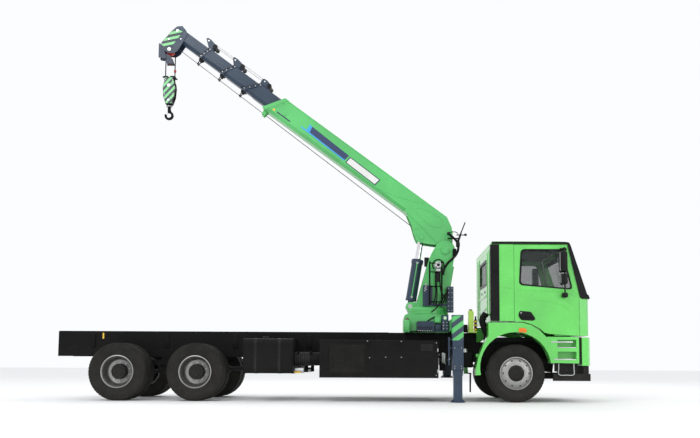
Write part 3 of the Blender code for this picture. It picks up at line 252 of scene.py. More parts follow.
CAB_GREEN = (0.115, 0.600, 0.095)
CRANE_GREEN = (0.085, 0.480, 0.125)
SLATE = (0.026, 0.046, 0.078)
M = {
    "cab_green": paint("cab_green_paint", CAB_GREEN, 0.26, 0.10, coat=0.6),
    "crane_green": paint("crane_green_paint", CRANE_GREEN, 0.36, 0.18),
    "slate": paint("slate_paint", SLATE, 0.34, 0.06, shade=0.16, coat=0.10, shine=0.30),
    "black_steel": paint("chassis_black", (0.0045, 0.0045, 0.0048), 0.50, 0.07, shade=0.3, coat=0.0,
                         shine=0.10),
    "black_plastic": plastic("black_plastic_grain", (0.0060, 0.0060, 0.0062), shine=0.14),
    "trim": plastic("satin_black_trim", (0.0045, 0.0045, 0.0048), 0.36, 900.0, shine=0.16),
    "rubber": rubber("tyre_rubber"),
    "hose": rubber("hose_rubber", (0.0050, 0.0050, 0.0052)),
    "rim_silver": metal("rim_silver_paint", (0.40, 0.40, 0.39), 0.40, dusty=0.25),
    "chrome": metal("chrome_plate", (0.80, 0.80, 0.82), 0.10, dusty=0.05),
    "steel": metal("bright_steel", (0.52, 0.52, 0.53), 0.30, brushed=True),
    "alu": metal("aluminium_tread", (0.62, 0.63, 0.64), 0.36, brushed=True),
    "cast": metal("cast_iron", (0.055, 0.055, 0.058), 0.62, dusty=0.08),
    "rope": metal("wire_rope", (0.20, 0.20, 0.21), 0.50),
    "red": paint("red_paint", (0.52, 0.030, 0.022), 0.42, 0.15),
    "yellow": paint("yellow_paint", (0.80, 0.52, 0.03), 0.40, 0.12),
    "orange": plastic("amber_lens", (0.72, 0.16, 0.01), 0.18, 300.0),
    "lamp_clear": plastic("clear_lens", (0.62, 0.63, 0.64), 0.10, 300.0),
    "white": paint("white_paint", (0.72, 0.72, 0.70), 0.40, 0.08),
    "blue": paint("blue_paint", (0.030, 0.330, 0.700), 0.40, 0.08),
    "navy": paint("navy_paint", (0.012, 0.030, 0.110), 0.40, 0.08),
    "brown": paint("brown_cover", (0.115, 0.060, 0.035), 0.50, 0.2),
    "bottle": plastic("coolant_bottle", (0.42, 0.62, 0.10), 0.30, 300.0),
    "lining": plastic("cab_lining", (0.050, 0.052, 0.056), 0.70, 700.0, shine=0.2),
    "glass": glass("window_glass"),
    "mirror": metal("mirror_glass", (0.85, 0.86, 0.87), 0.03, dusty=0.0),
    "cloth": cloth("seat_cloth_weave", (0.085, 0.085, 0.095)),
    "leg_stripes": striped("leg_stripes", CRANE_GREEN, SLATE, (-0.75, 0.0, 1.0), 0.080),
    "head_stripes": striped("head_stripes", (0.24, 0.62, 0.27), (0.030, 0.040, 0.055), (-0.22, 0.0, 1.0),
                            0.052),
    "block_stripes": striped("block_stripes", (0.24, 0.62, 0.27), (0.045, 0.060, 0.075), (1.0, 0.0, -0.9),
                             0.046),
}

SLOT_LOOKS = {
    "cab_green": "cab_green", "crane_green": "crane_green", "slate": "slate", "black_steel": "black_steel",
    "black_plastic": "black_plastic", "rubber": "rubber", "rim_silver": "rim_silver", "chrome": "chrome",
    "cast": "cast", "red": "red", "glass": "glass", "seat_cloth": "cloth", "white_tank": "bottle",
}
NODE_LOOKS = {"air_intake": "trim"}


def dress_nodes():
    """Every CAD solid that stays in view takes a procedural material."""
    slots = {entry["node"]: entry["material_slot"] for entry in frame["record"]["subparts"]}
    for name, obj in NODES.items():
        look = NODE_LOOKS.get(name, SLOT_LOOKS[slots[name]])
        for slot in obj.material_slots:
            slot.material = M[look]


# ---- mesh helpers
def finish_mesh(name, bm, look, body, smooth=True):
    mesh = bpy.data.meshes.new(name)
    bmesh.ops.recalc_face_normals(bm, faces=bm.faces)
    bm.to_mesh(mesh)
    bm.free()
    obj = bpy.data.objects.new(name, mesh)
    bpy.context.scene.collection.objects.link(obj)
    if smooth:
        mesh.shade_smooth()
        mesh.set_sharp_from_angle(angle=math.radians(38))
    mesh.materials.append(M[look] if isinstance(look, str) else look)
    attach(obj, body)
    return obj


def add_box(bm, low, high, edge=0.0, segments=2, turn=None):
    """A box from its two corners, its edges rounded."""
    low, high = Vector(low), Vector(high)
    made = bmesh.ops.create_cube(bm, size=1.0)["verts"]
    bmesh.ops.scale(bm, vec=high - low, verts=made)
    if edge:
        edges = list({e for v in made for e in v.link_edges})
        made = bmesh.ops.bevel(bm, geom=edges, offset=edge, segments=segments, affect="EDGES",
                               profile=0.5)["verts"]
    matrix = Matrix.Translation((low + high) / 2) @ (turn or Matrix.Identity(4))
    bmesh.ops.transform(bm, matrix=matrix, verts=made)
    return made


def add_rod(bm, start, end, radius, sides=14, top=None):
    start, end = Vector(start), Vector(end)
    depth = (end - start).length
    turn = (end - start).to_track_quat("Z", "Y").to_matrix().to_4x4()
    made = bmesh.ops.create_cone(
        bm, cap_ends=True, segments=sides, radius1=radius, radius2=radius if top is None else top, depth=depth
    )["verts"]
    bmesh.ops.transform(bm, matrix=Matrix.Translation((start + end) / 2) @ turn, verts=made)
    return made


def add_plate(bm, outline, low, high, axis="Y"):
    """An outline of pairs across the axis, extruded along it."""
    spot = {"Y": lambda a, b, c: (a, c, b), "Z": lambda a, b, c: (a, b, c), "X": lambda a, b,
            c: (c, a, b)}[axis]
    first = [bm.verts.new(spot(a, b, low)) for a, b in outline]
    second = [bm.verts.new(spot(a, b, high)) for a, b in outline]
    bm.faces.new(first)
    bm.faces.new(list(reversed(second)))
    for i in range(len(outline)):
        j = (i + 1) % len(outline)
        bm.faces.new((first[i], second[i], second[j], first[j]))
    return first + second


def add_turned(bm, profile, centre, axis="Y", sides=48):
    """A closed profile of (radius, distance along the axis), spun round the axis."""
    turn = {
        "Z": Matrix.Identity(4), "Y": Matrix.Rotation(-math.pi / 2, 4, "X"),
        "X": Matrix.Rotation(math.pi / 2, 4, "Y"),
    }[axis]
    rings = []
    for i in range(sides):
        a = 2 * math.pi * i / sides
        rings.append([bm.verts.new((r * math.cos(a), r * math.sin(a), h)) for r, h in profile])
    made = [v for ring in rings for v in ring]
    for i in range(sides):
        here, there = rings[i], rings[(i + 1) % sides]
        for j in range(len(profile)):
            k = (j + 1) % len(profile)
            if profile[j][0] < 1e-6 and profile[k][0] < 1e-6:
                continue
            bm.faces.new((here[j], there[j], there[k], here[k]))
    bmesh.ops.remove_doubles(bm, verts=made, dist=0.00001)
    made = [v for v in made if v.is_valid]
    bmesh.ops.transform(bm, matrix=Matrix.Translation(centre) @ turn, verts=made)
    return made


def arc(centre, radius, start, end, steps):
    found = []
    for i in range(steps + 1):
        a = math.radians(start + (end - start) * i / steps)
        found.append((centre[0] + radius * math.cos(a), centre[1] + radius * math.sin(a)))
    return found


def tube(name, points, radius, look, body, closed=False):
    """A bent tube or hose along a smooth curve."""
    curve = bpy.data.curves.new(name, "CURVE")
    curve.dimensions = "3D"
    curve.bevel_depth = radius
    curve.bevel_resolution = 4
    curve.resolution_u = 8
    curve.use_fill_caps = True
    spline = curve.splines.new("BEZIER")
    spline.bezier_points.add(len(points) - 1)
    for point, at in zip(spline.bezier_points, points):
        point.co = at
        point.handle_left_type = point.handle_right_type = "AUTO"
    spline.use_cyclic_u = closed
    obj = bpy.data.objects.new(name, curve)
    bpy.context.scene.collection.objects.link(obj)
    curve.materials.append(M[look])
    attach(obj, body)
    return obj


def sided(side, low, high):
    return (side * low, side * high) if side > 0 else (side * high, side * low)


def side_box(bm, side, x, y, z, edge=0, segments=2):
    """A box on one side of the vehicle; y runs outwards from its middle."""
    near, far = sided(side, *y)
    add_box(bm, (x[0], near, z[0]), (x[1], far, z[1]), edge, segments)


# ---- stage
def make_stage():
    bm = bmesh.new()
    bmesh.ops.create_grid(bm, x_segments=1, y_segments=1, size=90.0)
    mesh = bpy.data.meshes.new("floor")
    bm.to_mesh(mesh)
    bm.free()
    floor = bpy.data.objects.new("floor", mesh)
    bpy.context.scene.collection.objects.link(floor)
    mat, tree, shader = new_material("studio_floor")
    tone = ramp(tree, noise(tree, 0.35, 3.0), [(0.3, (0.84, 0.84, 0.84)), (0.7, (0.87, 0.87, 0.87))])
    tree.links.new(tone, shader.inputs["Base Color"])
    shader.inputs["Roughness"].default_value = 0.85
    mesh.materials.append(mat)

    world = bpy.data.worlds.new("studio")
    bpy.context.scene.world = world
    world.use_nodes = True
    bpy.context.scene.view_settings.view_transform = "Standard"
    back = world.node_tree.nodes["Background"]
    back.inputs["Color"].default_value = (0.97, 0.98, 1.0, 1.0)
    back.inputs["Strength"].default_value = 1.0
    for name, at, aim, size, power in (
        ("key", (-9.0, -17.0, 17.0), (0.5, 0.0, 2.0), 9.0, 1500),
        ("fill", (13.0, -13.0, 6.0), (2.5, 0.0, 1.8), 8.0, 420),
        ("back", (2.0, 13.0, 13.0), (0.5, 0.0, 2.5), 8.0, 500),
    ):
        light = bpy.data.lights.new(name, "AREA")
        light.size = size
        light.energy = power
        lamp = bpy.data.objects.new(name, light)
        lamp.location = at
        lamp.rotation_euler = (Vector(aim) - Vector(at)).to_track_quat("-Z", "Y").to_euler()
        bpy.context.scene.collection.objects.link(lamp)


def make_camera():
    """Standing at the right side, near the ground, looking slightly up."""
    lens = bpy.data.cameras.new("camera")
    lens.sensor_width = 36.0
    lens.lens = 42.9
    lens.shift_x = -0.0457
    lens.shift_y = 0.100
    lens.dof.use_dof = False
    camera = bpy.data.objects.new("camera", lens)
    pitch, roll = math.radians(90.0 + 5.13), math.radians(0.28)
    camera.matrix_world = (
        Matrix.Translation((1.1675, -16.25, 0.68)) @ Matrix.Rotation(pitch, 4,
                                                                     "X") @ Matrix.Rotation(roll, 4, "Z")
    )
    bpy.context.scene.collection.objects.link(camera)
    bpy.context.scene.camera = camera


# ---- wheels
TYRE_R = (HIGH["tyre_front_left"].z - LOW["tyre_front_left"].z) / 2
TYRE_W = HIGH["tyre_front_left"].y - LOW["tyre_front_left"].y
BEAD_R = (HIGH["rim_front_left"].z - LOW["rim_front_left"].z) / 2


def add_tyre(bm, centre, side, width):
    """Carcass with rounded shoulders, sidewall rings, tread ribs and cross grooves."""
    half = width / 2
    outer = TYRE_R - 0.009
    profile = [(BEAD_R + 0.001, -half + 0.042), (BEAD_R + 0.016, -half + 0.018)]
    profile += [(BEAD_R + 0.055, -half + 0.006), (BEAD_R + 0.060, -half + 0.010),
                (BEAD_R + 0.110, -half + 0.001)]
    profile += [(0.455, -half + 0.003), (0.462, -half + 0.008), (0.486, -half + 0.010),
                (0.502, -half + 0.022)]
    profile += [(outer, -half + 0.038), (outer + 0.003, -0.040), (outer + 0.003, 0.040)]
    mirrored = [(r, -y) for r, y in reversed(profile[:-2])]
    add_turned(bm, [(r, side * y) for r, y in profile + mirrored], centre, sides=72)
    blocks = 54
    rows = ((-half + 0.040, -0.066), (-0.058, -0.006), (0.006, 0.058), (0.066, half - 0.040))
    for number, (low, high) in enumerate(rows):
        for i in range(blocks):
            angle = 2 * math.pi * (i + (0.5 if number % 2 else 0.0)) / blocks
            spin = Matrix.Rotation(angle, 4, "Y")
            made = bmesh.ops.create_cube(bm, size=1.0)["verts"]
            size = Matrix.Diagonal((TYRE_R * 2 * math.pi / blocks * 0.80, high - low, 0.012, 1.0))
            lift = Matrix.Translation((0, side * (low + high) / 2, TYRE_R - 0.0075))
            bmesh.ops.transform(bm, matrix=Matrix.Translation(centre) @ spin @ lift @ size, verts=made)


def add_ring_of_nuts(bm, centre, side, face, radius, count, size):
    for i in range(count):
        a = 2 * math.pi * (i + 0.5) / count
        at = Vector((centre[0] + radius * math.cos(a), 0, centre[2] + radius * math.sin(a)))
        start = Vector((at.x, centre[1] + side * face, at.z))
        end = start + Vector((0, side * size * 1.5, 0))
        add_rod(bm, start, end, size, sides=6)
        add_rod(bm, end, end + Vector((0, side * size * 0.9, 0)), size * 0.55, sides=10)


def front_wheel(side, word):
    tyre_low, tyre_high = LOW["tyre_front_" + word], HIGH["tyre_front_" + word]
    centre = (tyre_low + tyre_high) / 2
    body = "front_wheel_" + word
    bm = bmesh.new()
    add_tyre(bm, centre, side, TYRE_W)
    tyre = finish_mesh("front_tyre_" + word, bm, "rubber", body)
    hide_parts("tyre_front_" + word)

    half = TYRE_W / 2
    bm = bmesh.new()
    seat = BEAD_R
    profile = [
        (seat - 0.012, -half + 0.036), (seat, -half + 0.036), (seat - 0.002, half - 0.055),
        (seat + 0.008, half - 0.030),
        (seat + 0.006, half - 0.016), (seat - 0.008, half - 0.012), (seat - 0.018, half - 0.022),
        (seat - 0.026, half - 0.050), (0.242, 0.104), (0.228, 0.112), (0.205, 0.120), (0.172, 0.124),
        (0.146, 0.126),
        (0.146, 0.108), (0.172, 0.104), (0.225, 0.092), (seat - 0.030, half - 0.075),
        (seat - 0.014, half - 0.090),
    ]
    add_turned(bm, [(r, side * y) for r, y in profile], centre)
    rim = finish_mesh("front_rim_" + word, bm, "rim_silver", body)
    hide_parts("rim_front_" + word)
    for i in range(10):
        a = 2 * math.pi * i / 10
        hole = bmesh.new()
        at = Vector((centre.x + 0.226 * math.cos(a), centre.y + side * 0.1125,
                     centre.z + 0.226 * math.sin(a)))
        add_rod(hole, at - Vector((0, side * 0.006, 0)), at + Vector((0, side * 0.0015, 0)), 0.019, sides=16)
        finish_mesh(f"front_rim_hand_hole_{word}_{i + 1}", hole, "trim", body)
    bm = bmesh.new()
    add_ring_of_nuts(bm, centre, side, 0.122, 0.168, 10, 0.014)
    finish_mesh("front_nuts_" + word, bm, "steel", body)
    bm = bmesh.new()
    hub = [(0, 0.100), (0.142, 0.100), (0.142, 0.130), (0.128, 0.142), (0.094, 0.146), (0.090, 0.151),
           (0.050, 0.152), (0, 0.152)]
    add_turned(bm, [(r, side * y) for r, y in hub], centre)
    for i in range(6):
        a = 2 * math.pi * i / 6
        at = Vector((centre.x + 0.108 * math.cos(a), centre.y + side * 0.1425,
                     centre.z + 0.108 * math.sin(a)))
        add_rod(bm, at, at + Vector((0, side * 0.009, 0)), 0.008, sides=6)
    finish_mesh("front_hub_" + word, bm, "trim", body)


def rear_wheel(number, side, word):
    node = f"wheel_rear_{number}_{word}"
    body = f"rear_wheel_{number}_{word}"
    low, high = LOW[node], HIGH[node]
    x, z = (low.x + high.x) / 2, (low.z + high.z) / 2
    far = max(abs(low.y), abs(high.y))
    near = min(abs(low.y), abs(high.y))
    half = TYRE_W / 2
    bm = bmesh.new()
    for y in (near + half, far - half):
        add_tyre(bm, Vector((x, side * y, z)), side, TYRE_W)
    tyres = finish_mesh(f"rear_tyres_{number}_{word}", bm, "rubber", body)
    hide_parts(node)

    centre = Vector((x, 0, z))
    seat = BEAD_R
    bm = bmesh.new()
    outer = [
        (seat - 0.012, far - 0.250), (seat, far - 0.250), (seat - 0.002, far - 0.055),
        (seat + 0.008, far - 0.030),
        (seat + 0.006, far - 0.016), (seat - 0.008, far - 0.012), (seat - 0.018, far - 0.022),
        (seat - 0.028, far - 0.060), (seat - 0.038, far - 0.190), (0.226, far - 0.226), (0.205, far - 0.236),
        (0.140, far - 0.238), (0.140, far - 0.250), (0.205, far - 0.250), (0.232, far - 0.240),
    ]
    add_turned(bm, [(r, side * y) for r, y in outer], centre)
    inner = [
        (seat - 0.012, near + 0.016), (seat + 0.006, near + 0.016), (seat, near + 0.060),
        (seat, near + 0.260),
        (0.210, near + 0.290), (0.140, near + 0.292), (0.140, near + 0.280), (0.205, near + 0.278),
        (seat - 0.016, near + 0.240),
    ]
    add_turned(bm, [(r, side * y) for r, y in inner], centre)
    finish_mesh(f"rear_rims_{number}_{word}", bm, "rim_silver", body)
    bm = bmesh.new()
    add_ring_of_nuts(bm, centre, side, far - 0.239, 0.170, 10, 0.014)
    finish_mesh(f"rear_nuts_{number}_{word}", bm, "steel", body)
    bm = bmesh.new()
    hub = [
        (0, near + 0.012), (0.190, near + 0.012), (0.198, near + 0.140), (0.138, near + 0.180),
        (0.138, far - 0.130),
        (0.126, far - 0.112), (0.084, far - 0.106), (0.078, far - 0.098), (0.040, far - 0.096),
        (0, far - 0.096),
    ]
    add_turned(bm, [(r, side * y) for r, y in hub], centre)
    for i in range(8):
        a = 2 * math.pi * i / 8
        at = Vector((x + 0.106 * math.cos(a), side * (far - 0.113), z + 0.106 * math.sin(a)))
        add_rod(bm, at, at + Vector((0, side * 0.010, 0)), 0.008, sides=6)
    finish_mesh(f"rear_hub_{number}_{word}", bm, "trim", body)


# ---- cab
CAB_Y = HIGH["door_left"].y  # outer face of the doors
SCREEN_LOW, SCREEN_HIGH = LOW["windscreen"], HIGH["windscreen"]
WINDOW = [(3.670, 2.130), (3.705, 2.754), (4.430, 2.754), (4.600, 2.050)]


def add_skin(bm, outline, side, stand=0.004, at=None):
    """A thin plate on one side of the truck, from its XZ outline."""
    face = CAB_Y if at is None else at
    add_plate(bm, outline, *sided(side, face - 0.001, face + stand))


def add_frame(bm, outline, inner, side, low, high):
    """A flat ring between two XZ outlines with the same number of corners."""
    count = len(outline)
    for i in range(count):
        j = (i + 1) % count
        add_plate(bm, [outline[i], outline[j], inner[j], inner[i]], *sided(side, low, high))


def shrink(outline, amount):
    """The outline drawn in toward its middle by about that many metres."""
    cx = sum(p[0] for p in outline) / len(outline)
    cz = sum(p[1] for p in outline) / len(outline)
    found = []
    for x, z in outline:
        reach = math.hypot(x - cx, z - cz)
        found.append((x + (cx - x) * amount / reach, z + (cz - z) * amount / reach))
    return found


def rounded(outline, radius, steps=4):
    """The outline with its corners turned into short curves."""
    found = []
    count = len(outline)
    for i in range(count):
        before, here, after = (Vector(outline[(i + k) % count]) for k in (-1, 0, 1))
        first = here + (before - here).normalized() * radius
        last = here + (after - here).normalized() * radius
        for k in range(steps + 1):
            t = k / steps
            point = first * (1 - t) ** 2 + here * 2 * t * (1 - t) + last * t * t
            found.append((point.x, point.y))
    return found


def cab_sides():
    for side, word in SIDES:
        door = "door_" + word
        bm = bmesh.new()
        add_skin(bm, [(3.160, 2.862), (3.160, 2.908), (4.500, 2.908), (4.530, 2.862)], side, 0.006)
        add_skin(bm,
                 [(4.500, 2.908), (4.566, 2.898), (4.592, 2.852), (4.908, 1.868), (4.782, 1.868),
                  (4.745, 1.895),
                      (4.532, 2.862)], side, 0.005)
        finish_mesh("roof_and_pillar_strip_" + word, bm, "trim", "cab", smooth=False)
        bm = bmesh.new()
        add_frame(bm, rounded(shrink(WINDOW, -0.030), 0.080), rounded(shrink(WINDOW, 0.012), 0.070), side,
                  CAB_Y - 0.002, CAB_Y + 0.005)
        finish_mesh("window_seal_" + word, bm, "trim", door)
        bm = bmesh.new()
        add_plate(bm, rounded(shrink(WINDOW, 0.004), 0.070), *sided(side, CAB_Y - 0.022, CAB_Y - 0.017))
        finish_mesh("window_glass_" + word, bm, "glass", door, smooth=False)
        bm = bmesh.new()
        handle = rounded([(3.628, 1.560), (3.655, 1.648), (3.860, 1.630), (3.945, 1.500), (3.900, 1.468),
                          (3.680, 1.478)], 0.030)
        add_skin(bm, handle, side, 0.007)
        finish_mesh("handle_dish_" + word, bm, "trim", door)
        bm = bmesh.new()
        x = sided(side, CAB_Y + 0.006, CAB_Y + 0.034)
        add_box(bm, (3.690, x[0], 1.535), (3.880, x[1], 1.575), 0.010, 3)
        add_box(bm, (3.662, x[0], 1.520), (3.700, x[1], 1.590), 0.008)
        finish_mesh("handle_grip_" + word, bm, "black_plastic", door)
        bm = bmesh.new()
        add_rod(bm, (3.680, side * (CAB_Y + 0.004), 1.610), (3.680, side * (CAB_Y + 0.010), 1.610), 0.013)
        finish_mesh("door_lock_" + word, bm, "steel", door)
        y = side * (CAB_Y + 0.001)
        tube("door_crease_" + word,
             [(3.930, y, 1.842), (4.120, y, 1.822), (4.330, y, 1.780), (4.480, y, 1.715),
              (4.577, y, 1.632)],
             0.0035, "cab_green", door)
        tube("door_lower_crease_" + word,
             [(3.600, y, 2.040), (4.000, y, 2.010), (4.560, y, 1.955), (4.690, y, 1.900)],
             0.003, "cab_green", door)
        tube("side_crease_" + word, [(3.305, y, 2.075), (3.420, y, 2.065), (3.550, y, 2.045)], 0.003,
             "cab_green", "cab")
        tube("rear_panel_curve_" + word,
             [(3.310, y, 2.570), (3.380, y, 2.690), (3.470, y, 2.740), (3.550, y, 2.745)],
             0.0025, "cab_green", "cab")
        bm = bmesh.new()
        pane = rounded([(3.632, 1.262), (3.640, 1.338), (3.760, 1.330), (3.782, 1.282), (3.770, 1.256)],
                       0.014)
        fender_y = HIGH["fender_left"].y
        add_plate(bm, pane, *sided(side, fender_y, fender_y + 0.010))
        finish_mesh("side_marker_" + word, bm, "orange", "chassis")
        bm = bmesh.new()
        inner = sided(side, CAB_Y - 0.066, CAB_Y - 0.052)
        add_plate(bm,
                  [(3.600, 1.500), (3.600, 2.080), (4.600, 2.010), (4.690, 1.850), (4.690, 1.280),
                   (4.200, 1.280)], *inner)
        add_box(bm, (3.760, inner[0] - (0.04 if side > 0 else 0), 1.840),
                (4.420, inner[1] + (0.04 if side < 0 else 0), 1.890), 0.012)
        finish_mesh("door_lining_" + word, bm, "black_plastic", door)
        bm = bmesh.new()
        for z0, z1 in ((1.30, 1.345), (1.77, 1.815)):
            add_rod(bm, (4.738, side * (CAB_Y - 0.010), z0), (4.738, side * (CAB_Y - 0.010), z1), 0.010)
        finish_mesh("door_hinges_" + word, bm, "trim", door)


def cab_front_trim():
    front = HIGH["cab_front"].x
    foot, head = SCREEN_HIGH.x, SCREEN_HIGH.x - 0.286
    low, high = SCREEN_LOW.z, SCREEN_HIGH.z
    along = Vector((head - foot, 0, high - low)).normalized()
    out = Vector((along.z, 0, -along.x))

    def on_screen(s, y, off=0.004):
        return Vector((foot, y, low)) + along * s + out * off

    bm = bmesh.new()
    width = SCREEN_HIGH.y
    length = (Vector((head, 0, high)) - Vector((foot, 0, low))).length
    for a, b in ((0.0, 0.075), (length - 0.090, length - 0.002)):
        corners = [on_screen(a, -width, 0.001), on_screen(b, -width, 0.001), on_screen(b, width, 0.001),
                   on_screen(a, width, 0.001)]
        lifted = [c + out * 0.003 for c in corners]
        verts = [bm.verts.new(c) for c in corners + lifted]
        for quad in ((0, 1, 2, 3), (7, 6, 5, 4), (0, 4, 5, 1), (1, 5, 6, 2), (2, 6, 7, 3), (3, 7, 4, 0)):
            bm.faces.new([verts[i] for i in quad])
    finish_mesh("screen_border", bm, "trim", "cab", smooth=False)
    bm = bmesh.new()
    add_plate(bm,
              [(front - 0.020, 1.862), (front + 0.020, 1.866), (front + 0.034, 1.890),
               (front + 0.012, 1.945), (front - 0.020, 1.960)],
              -1.150, 1.150)
    finish_mesh("wiper_cowl", bm, "trim", "cab")
    for number, y in enumerate((-0.760, -0.020, 0.700), 1):
        bm = bmesh.new()
        knuckle = on_screen(-0.005, y, 0.016)
        tip = on_screen(0.420, y - 0.250, 0.018)
        add_rod(bm, knuckle, tip, 0.008, 8, 0.005)
        add_rod(bm, knuckle - out * 0.01, knuckle + out * 0.012, 0.022)
        add_rod(bm, on_screen(0.080, y - 0.310, 0.009), on_screen(0.700, y - 0.205, 0.009), 0.006, 8)
        finish_mesh(f"wiper_{number}", bm, "trim", "cab")
    bm = bmesh.new()
    add_plate(bm, rounded([(-0.900, 1.320), (-0.980, 1.640), (0.980, 1.640), (0.900, 1.320)], 0.050),
              front - 0.002, front + 0.008, axis="X")
    finish_mesh("grille_field", bm, "trim", "cab")
    bm = bmesh.new()
    for i in range(5):
        z = 1.350 + 0.058 * i
        reach = 0.890 + 0.018 * i
        add_box(bm, (front + 0.004, -reach, z), (front + 0.024, reach, z + 0.026), 0.008)
    finish_mesh("grille_bars", bm, "cab_green", "cab")
    bm = bmesh.new()
    add_box(bm, (front - 0.002, -0.980, 1.700), (front + 0.006, 0.980, 1.712), 0.002)
    add_box(bm, (front - 0.002, -0.980, 1.215), (front + 0.006, 0.980, 1.224), 0.002)
    finish_mesh("front_panel_seams", bm, "trim", "cab")
    for side, word in SIDES:
        bm = bmesh.new()
        bump_x = HIGH["bumper"].x
        lamp = sided(side, 0.740, 1.060)
        add_box(bm, (bump_x - 0.060, lamp[0], 0.850), (bump_x - 0.004, lamp[1], 1.020), 0.020, 3)
        finish_mesh("headlamp_bowl_" + word, bm, "trim", "chassis")
        bm = bmesh.new()
        for y in (0.820, 0.970):
            add_rod(bm, (bump_x - 0.020, side * y, 0.935), (bump_x - 0.003, side * y, 0.935), 0.062, 32,
                    0.054)
        finish_mesh("headlamp_lenses_" + word, bm, "lamp_clear", "chassis")
        bm = bmesh.new()
        side_box(bm, side, (bump_x - 0.090, bump_x - 0.028), (1.075, 1.150), (0.870, 1.000), 0.012)
        finish_mesh("front_indicator_" + word, bm, "orange", "chassis")
        bm = bmesh.new()
        add_rod(bm, (bump_x - 0.012, side * 0.640, 0.760), (bump_x - 0.001, side * 0.640, 0.760), 0.045, 24)
        finish_mesh("fog_lamp_" + word, bm, "lamp_clear", "chassis")
        bm = bmesh.new()
        y = sided(side, 0.500, 1.190)
        add_box(bm, (4.719, y[0], 0.690), (4.766, y[1], 1.176), 0.004)
        finish_mesh("corner_gap_filler_" + word, bm, "trim", "chassis")
        bm = bmesh.new()
        far = sided(side, CAB_Y - 0.006, CAB_Y + 0.001)
        for z in (0.800, 0.855, 0.910):
            add_box(bm, (4.800, far[0], z), (4.925 - 0.05, far[1] + 0.0 , z + 0.006))
        finish_mesh("bumper_side_lines_" + word, bm, "cab_green", "chassis")
    bm = bmesh.new()
    bump_x = HIGH["bumper"].x
    add_box(bm, (bump_x - 0.006, -0.560, 0.960), (bump_x - 0.0005, 0.560, 1.090), 0.004)
    add_box(bm, (bump_x - 0.006, -0.420, 0.720), (bump_x - 0.0005, 0.420, 0.850), 0.004)
    finish_mesh("bumper_intakes", bm, "trim", "chassis")
    bm = bmesh.new()
    add_box(bm, (bump_x - 0.004, -0.260, 0.730), (bump_x - 0.0002, 0.260, 0.840), 0.002)
    finish_mesh("blank_plate", bm, "white", "chassis")


def cab_rear():
    rear = LOW["cab_rear_wall"].x
    bm = bmesh.new()
    add_box(bm, (rear + 0.012, -0.470, 2.200), (rear + 0.018, 0.470, 2.630), 0.002)
    finish_mesh("rear_window_glass", bm, "glass", "cab", smooth=False)
    bm = bmesh.new()
    outer = rounded([(-0.505, 2.165), (-0.505, 2.665), (0.505, 2.665), (0.505, 2.165)], 0.06)
    inner = rounded([(-0.455, 2.215), (-0.455, 2.615), (0.455, 2.615), (0.455, 2.215)], 0.06)
    for i in range(len(outer)):
        j = (i + 1) % len(outer)
        add_plate(bm, [outer[i], outer[j], inner[j], inner[i]], rear - 0.008, rear + 0.008, axis="X")
    finish_mesh("rear_window_seal", bm, "trim", "cab")
    bm = bmesh.new()
    for y in (-0.90, -0.62, 0.62, 0.90):
        add_box(bm, (rear - 0.010, y - 0.030, 1.560), (rear + 0.002, y + 0.030, 2.780), 0.006)
    for z in (1.700, 1.950):
        add_box(bm, (rear - 0.010, -0.540, z), (rear + 0.002, 0.540, z + 0.050), 0.006)
    finish_mesh("rear_wall_ribs", bm, "cab_green", "cab")
    bm = bmesh.new()
    for y in (-0.250, 0.250):
        add_box(bm, (rear - 0.014, y - 0.030, 2.040), (rear - 0.008, y + 0.030, 2.085), 0.003)
    finish_mesh("rear_wall_vents", bm, "trim", "cab")
    low, high = LOW["air_intake"], HIGH["air_intake"]
    bm = bmesh.new()
    rows = 46
    for i in range(rows):
        z = low.z + 0.060 + (high.z - low.z - 0.120) * i / rows
        add_box(bm, (low.x + 0.020, low.y - 0.004, z), (high.x - 0.016, low.y + 0.004, z + 0.012))
        add_box(bm, (low.x - 0.004, low.y + 0.014, z), (low.x + 0.004, high.y - 0.014, z + 0.012))
    finish_mesh("intake_louvres", bm, "trim", "cab", smooth=False)
    bm = bmesh.new()
    for x in (low.x + 0.008, high.x - 0.008):
        add_box(bm, (x - 0.008, low.y - 0.006, low.z + 0.010), (x + 0.008, low.y + 0.002, high.z - 0.010),
                0.002)
    finish_mesh("intake_edges", bm, "black_plastic", "cab")
    hose = [(3.090, -0.900, 1.620), (3.020, -0.880, 1.500), (3.060, -0.860, 1.350), (3.120, -0.800, 1.220),
            (3.180, -0.700, 1.130)]
    tube("intake_hose", [Vector(p) for p in hose], 0.060, "hose", "chassis")
    bm = bmesh.new()
    for i in range(9):
        t = i / 8
        z = 1.600 - 0.40 * t
        x = 3.075 - 0.055 * math.sin(math.pi * min(1.0, t * 1.6)) + 0.03 * t
        add_turned(bm, [(0.055, -0.006), (0.069, -0.006), (0.069, 0.006), (0.055, 0.006)],
                   (x, -0.890 + 0.05 * t, z), axis="Z", sides=20)
    finish_mesh("intake_hose_folds", bm, "hose", "chassis")


def roof_trim():
    top = HIGH["cab_roof"].z
    bm = bmesh.new()
    for y in (-0.80, -0.40, 0.0, 0.40, 0.80):
        add_box(bm, (3.300, y - 0.020, top - 0.003), (4.380, y + 0.020, top + 0.006), 0.004)
    finish_mesh("roof_ribs", bm, "cab_green", "cab")
    bm = bmesh.new()
    add_box(bm, (3.760, -0.330, top - 0.002), (4.260, 0.330, top + 0.020), 0.015, 3)
    finish_mesh("roof_hatch", bm, "black_plastic", "cab")
    for number, y in enumerate((-0.85, 0.85), 1):
        bm = bmesh.new()
        add_box(bm, (4.505, y - 0.060, 2.885), (4.560, y + 0.060, 2.912), 0.010)
        finish_mesh(f"roof_marker_{number}", bm, "orange", "cab")


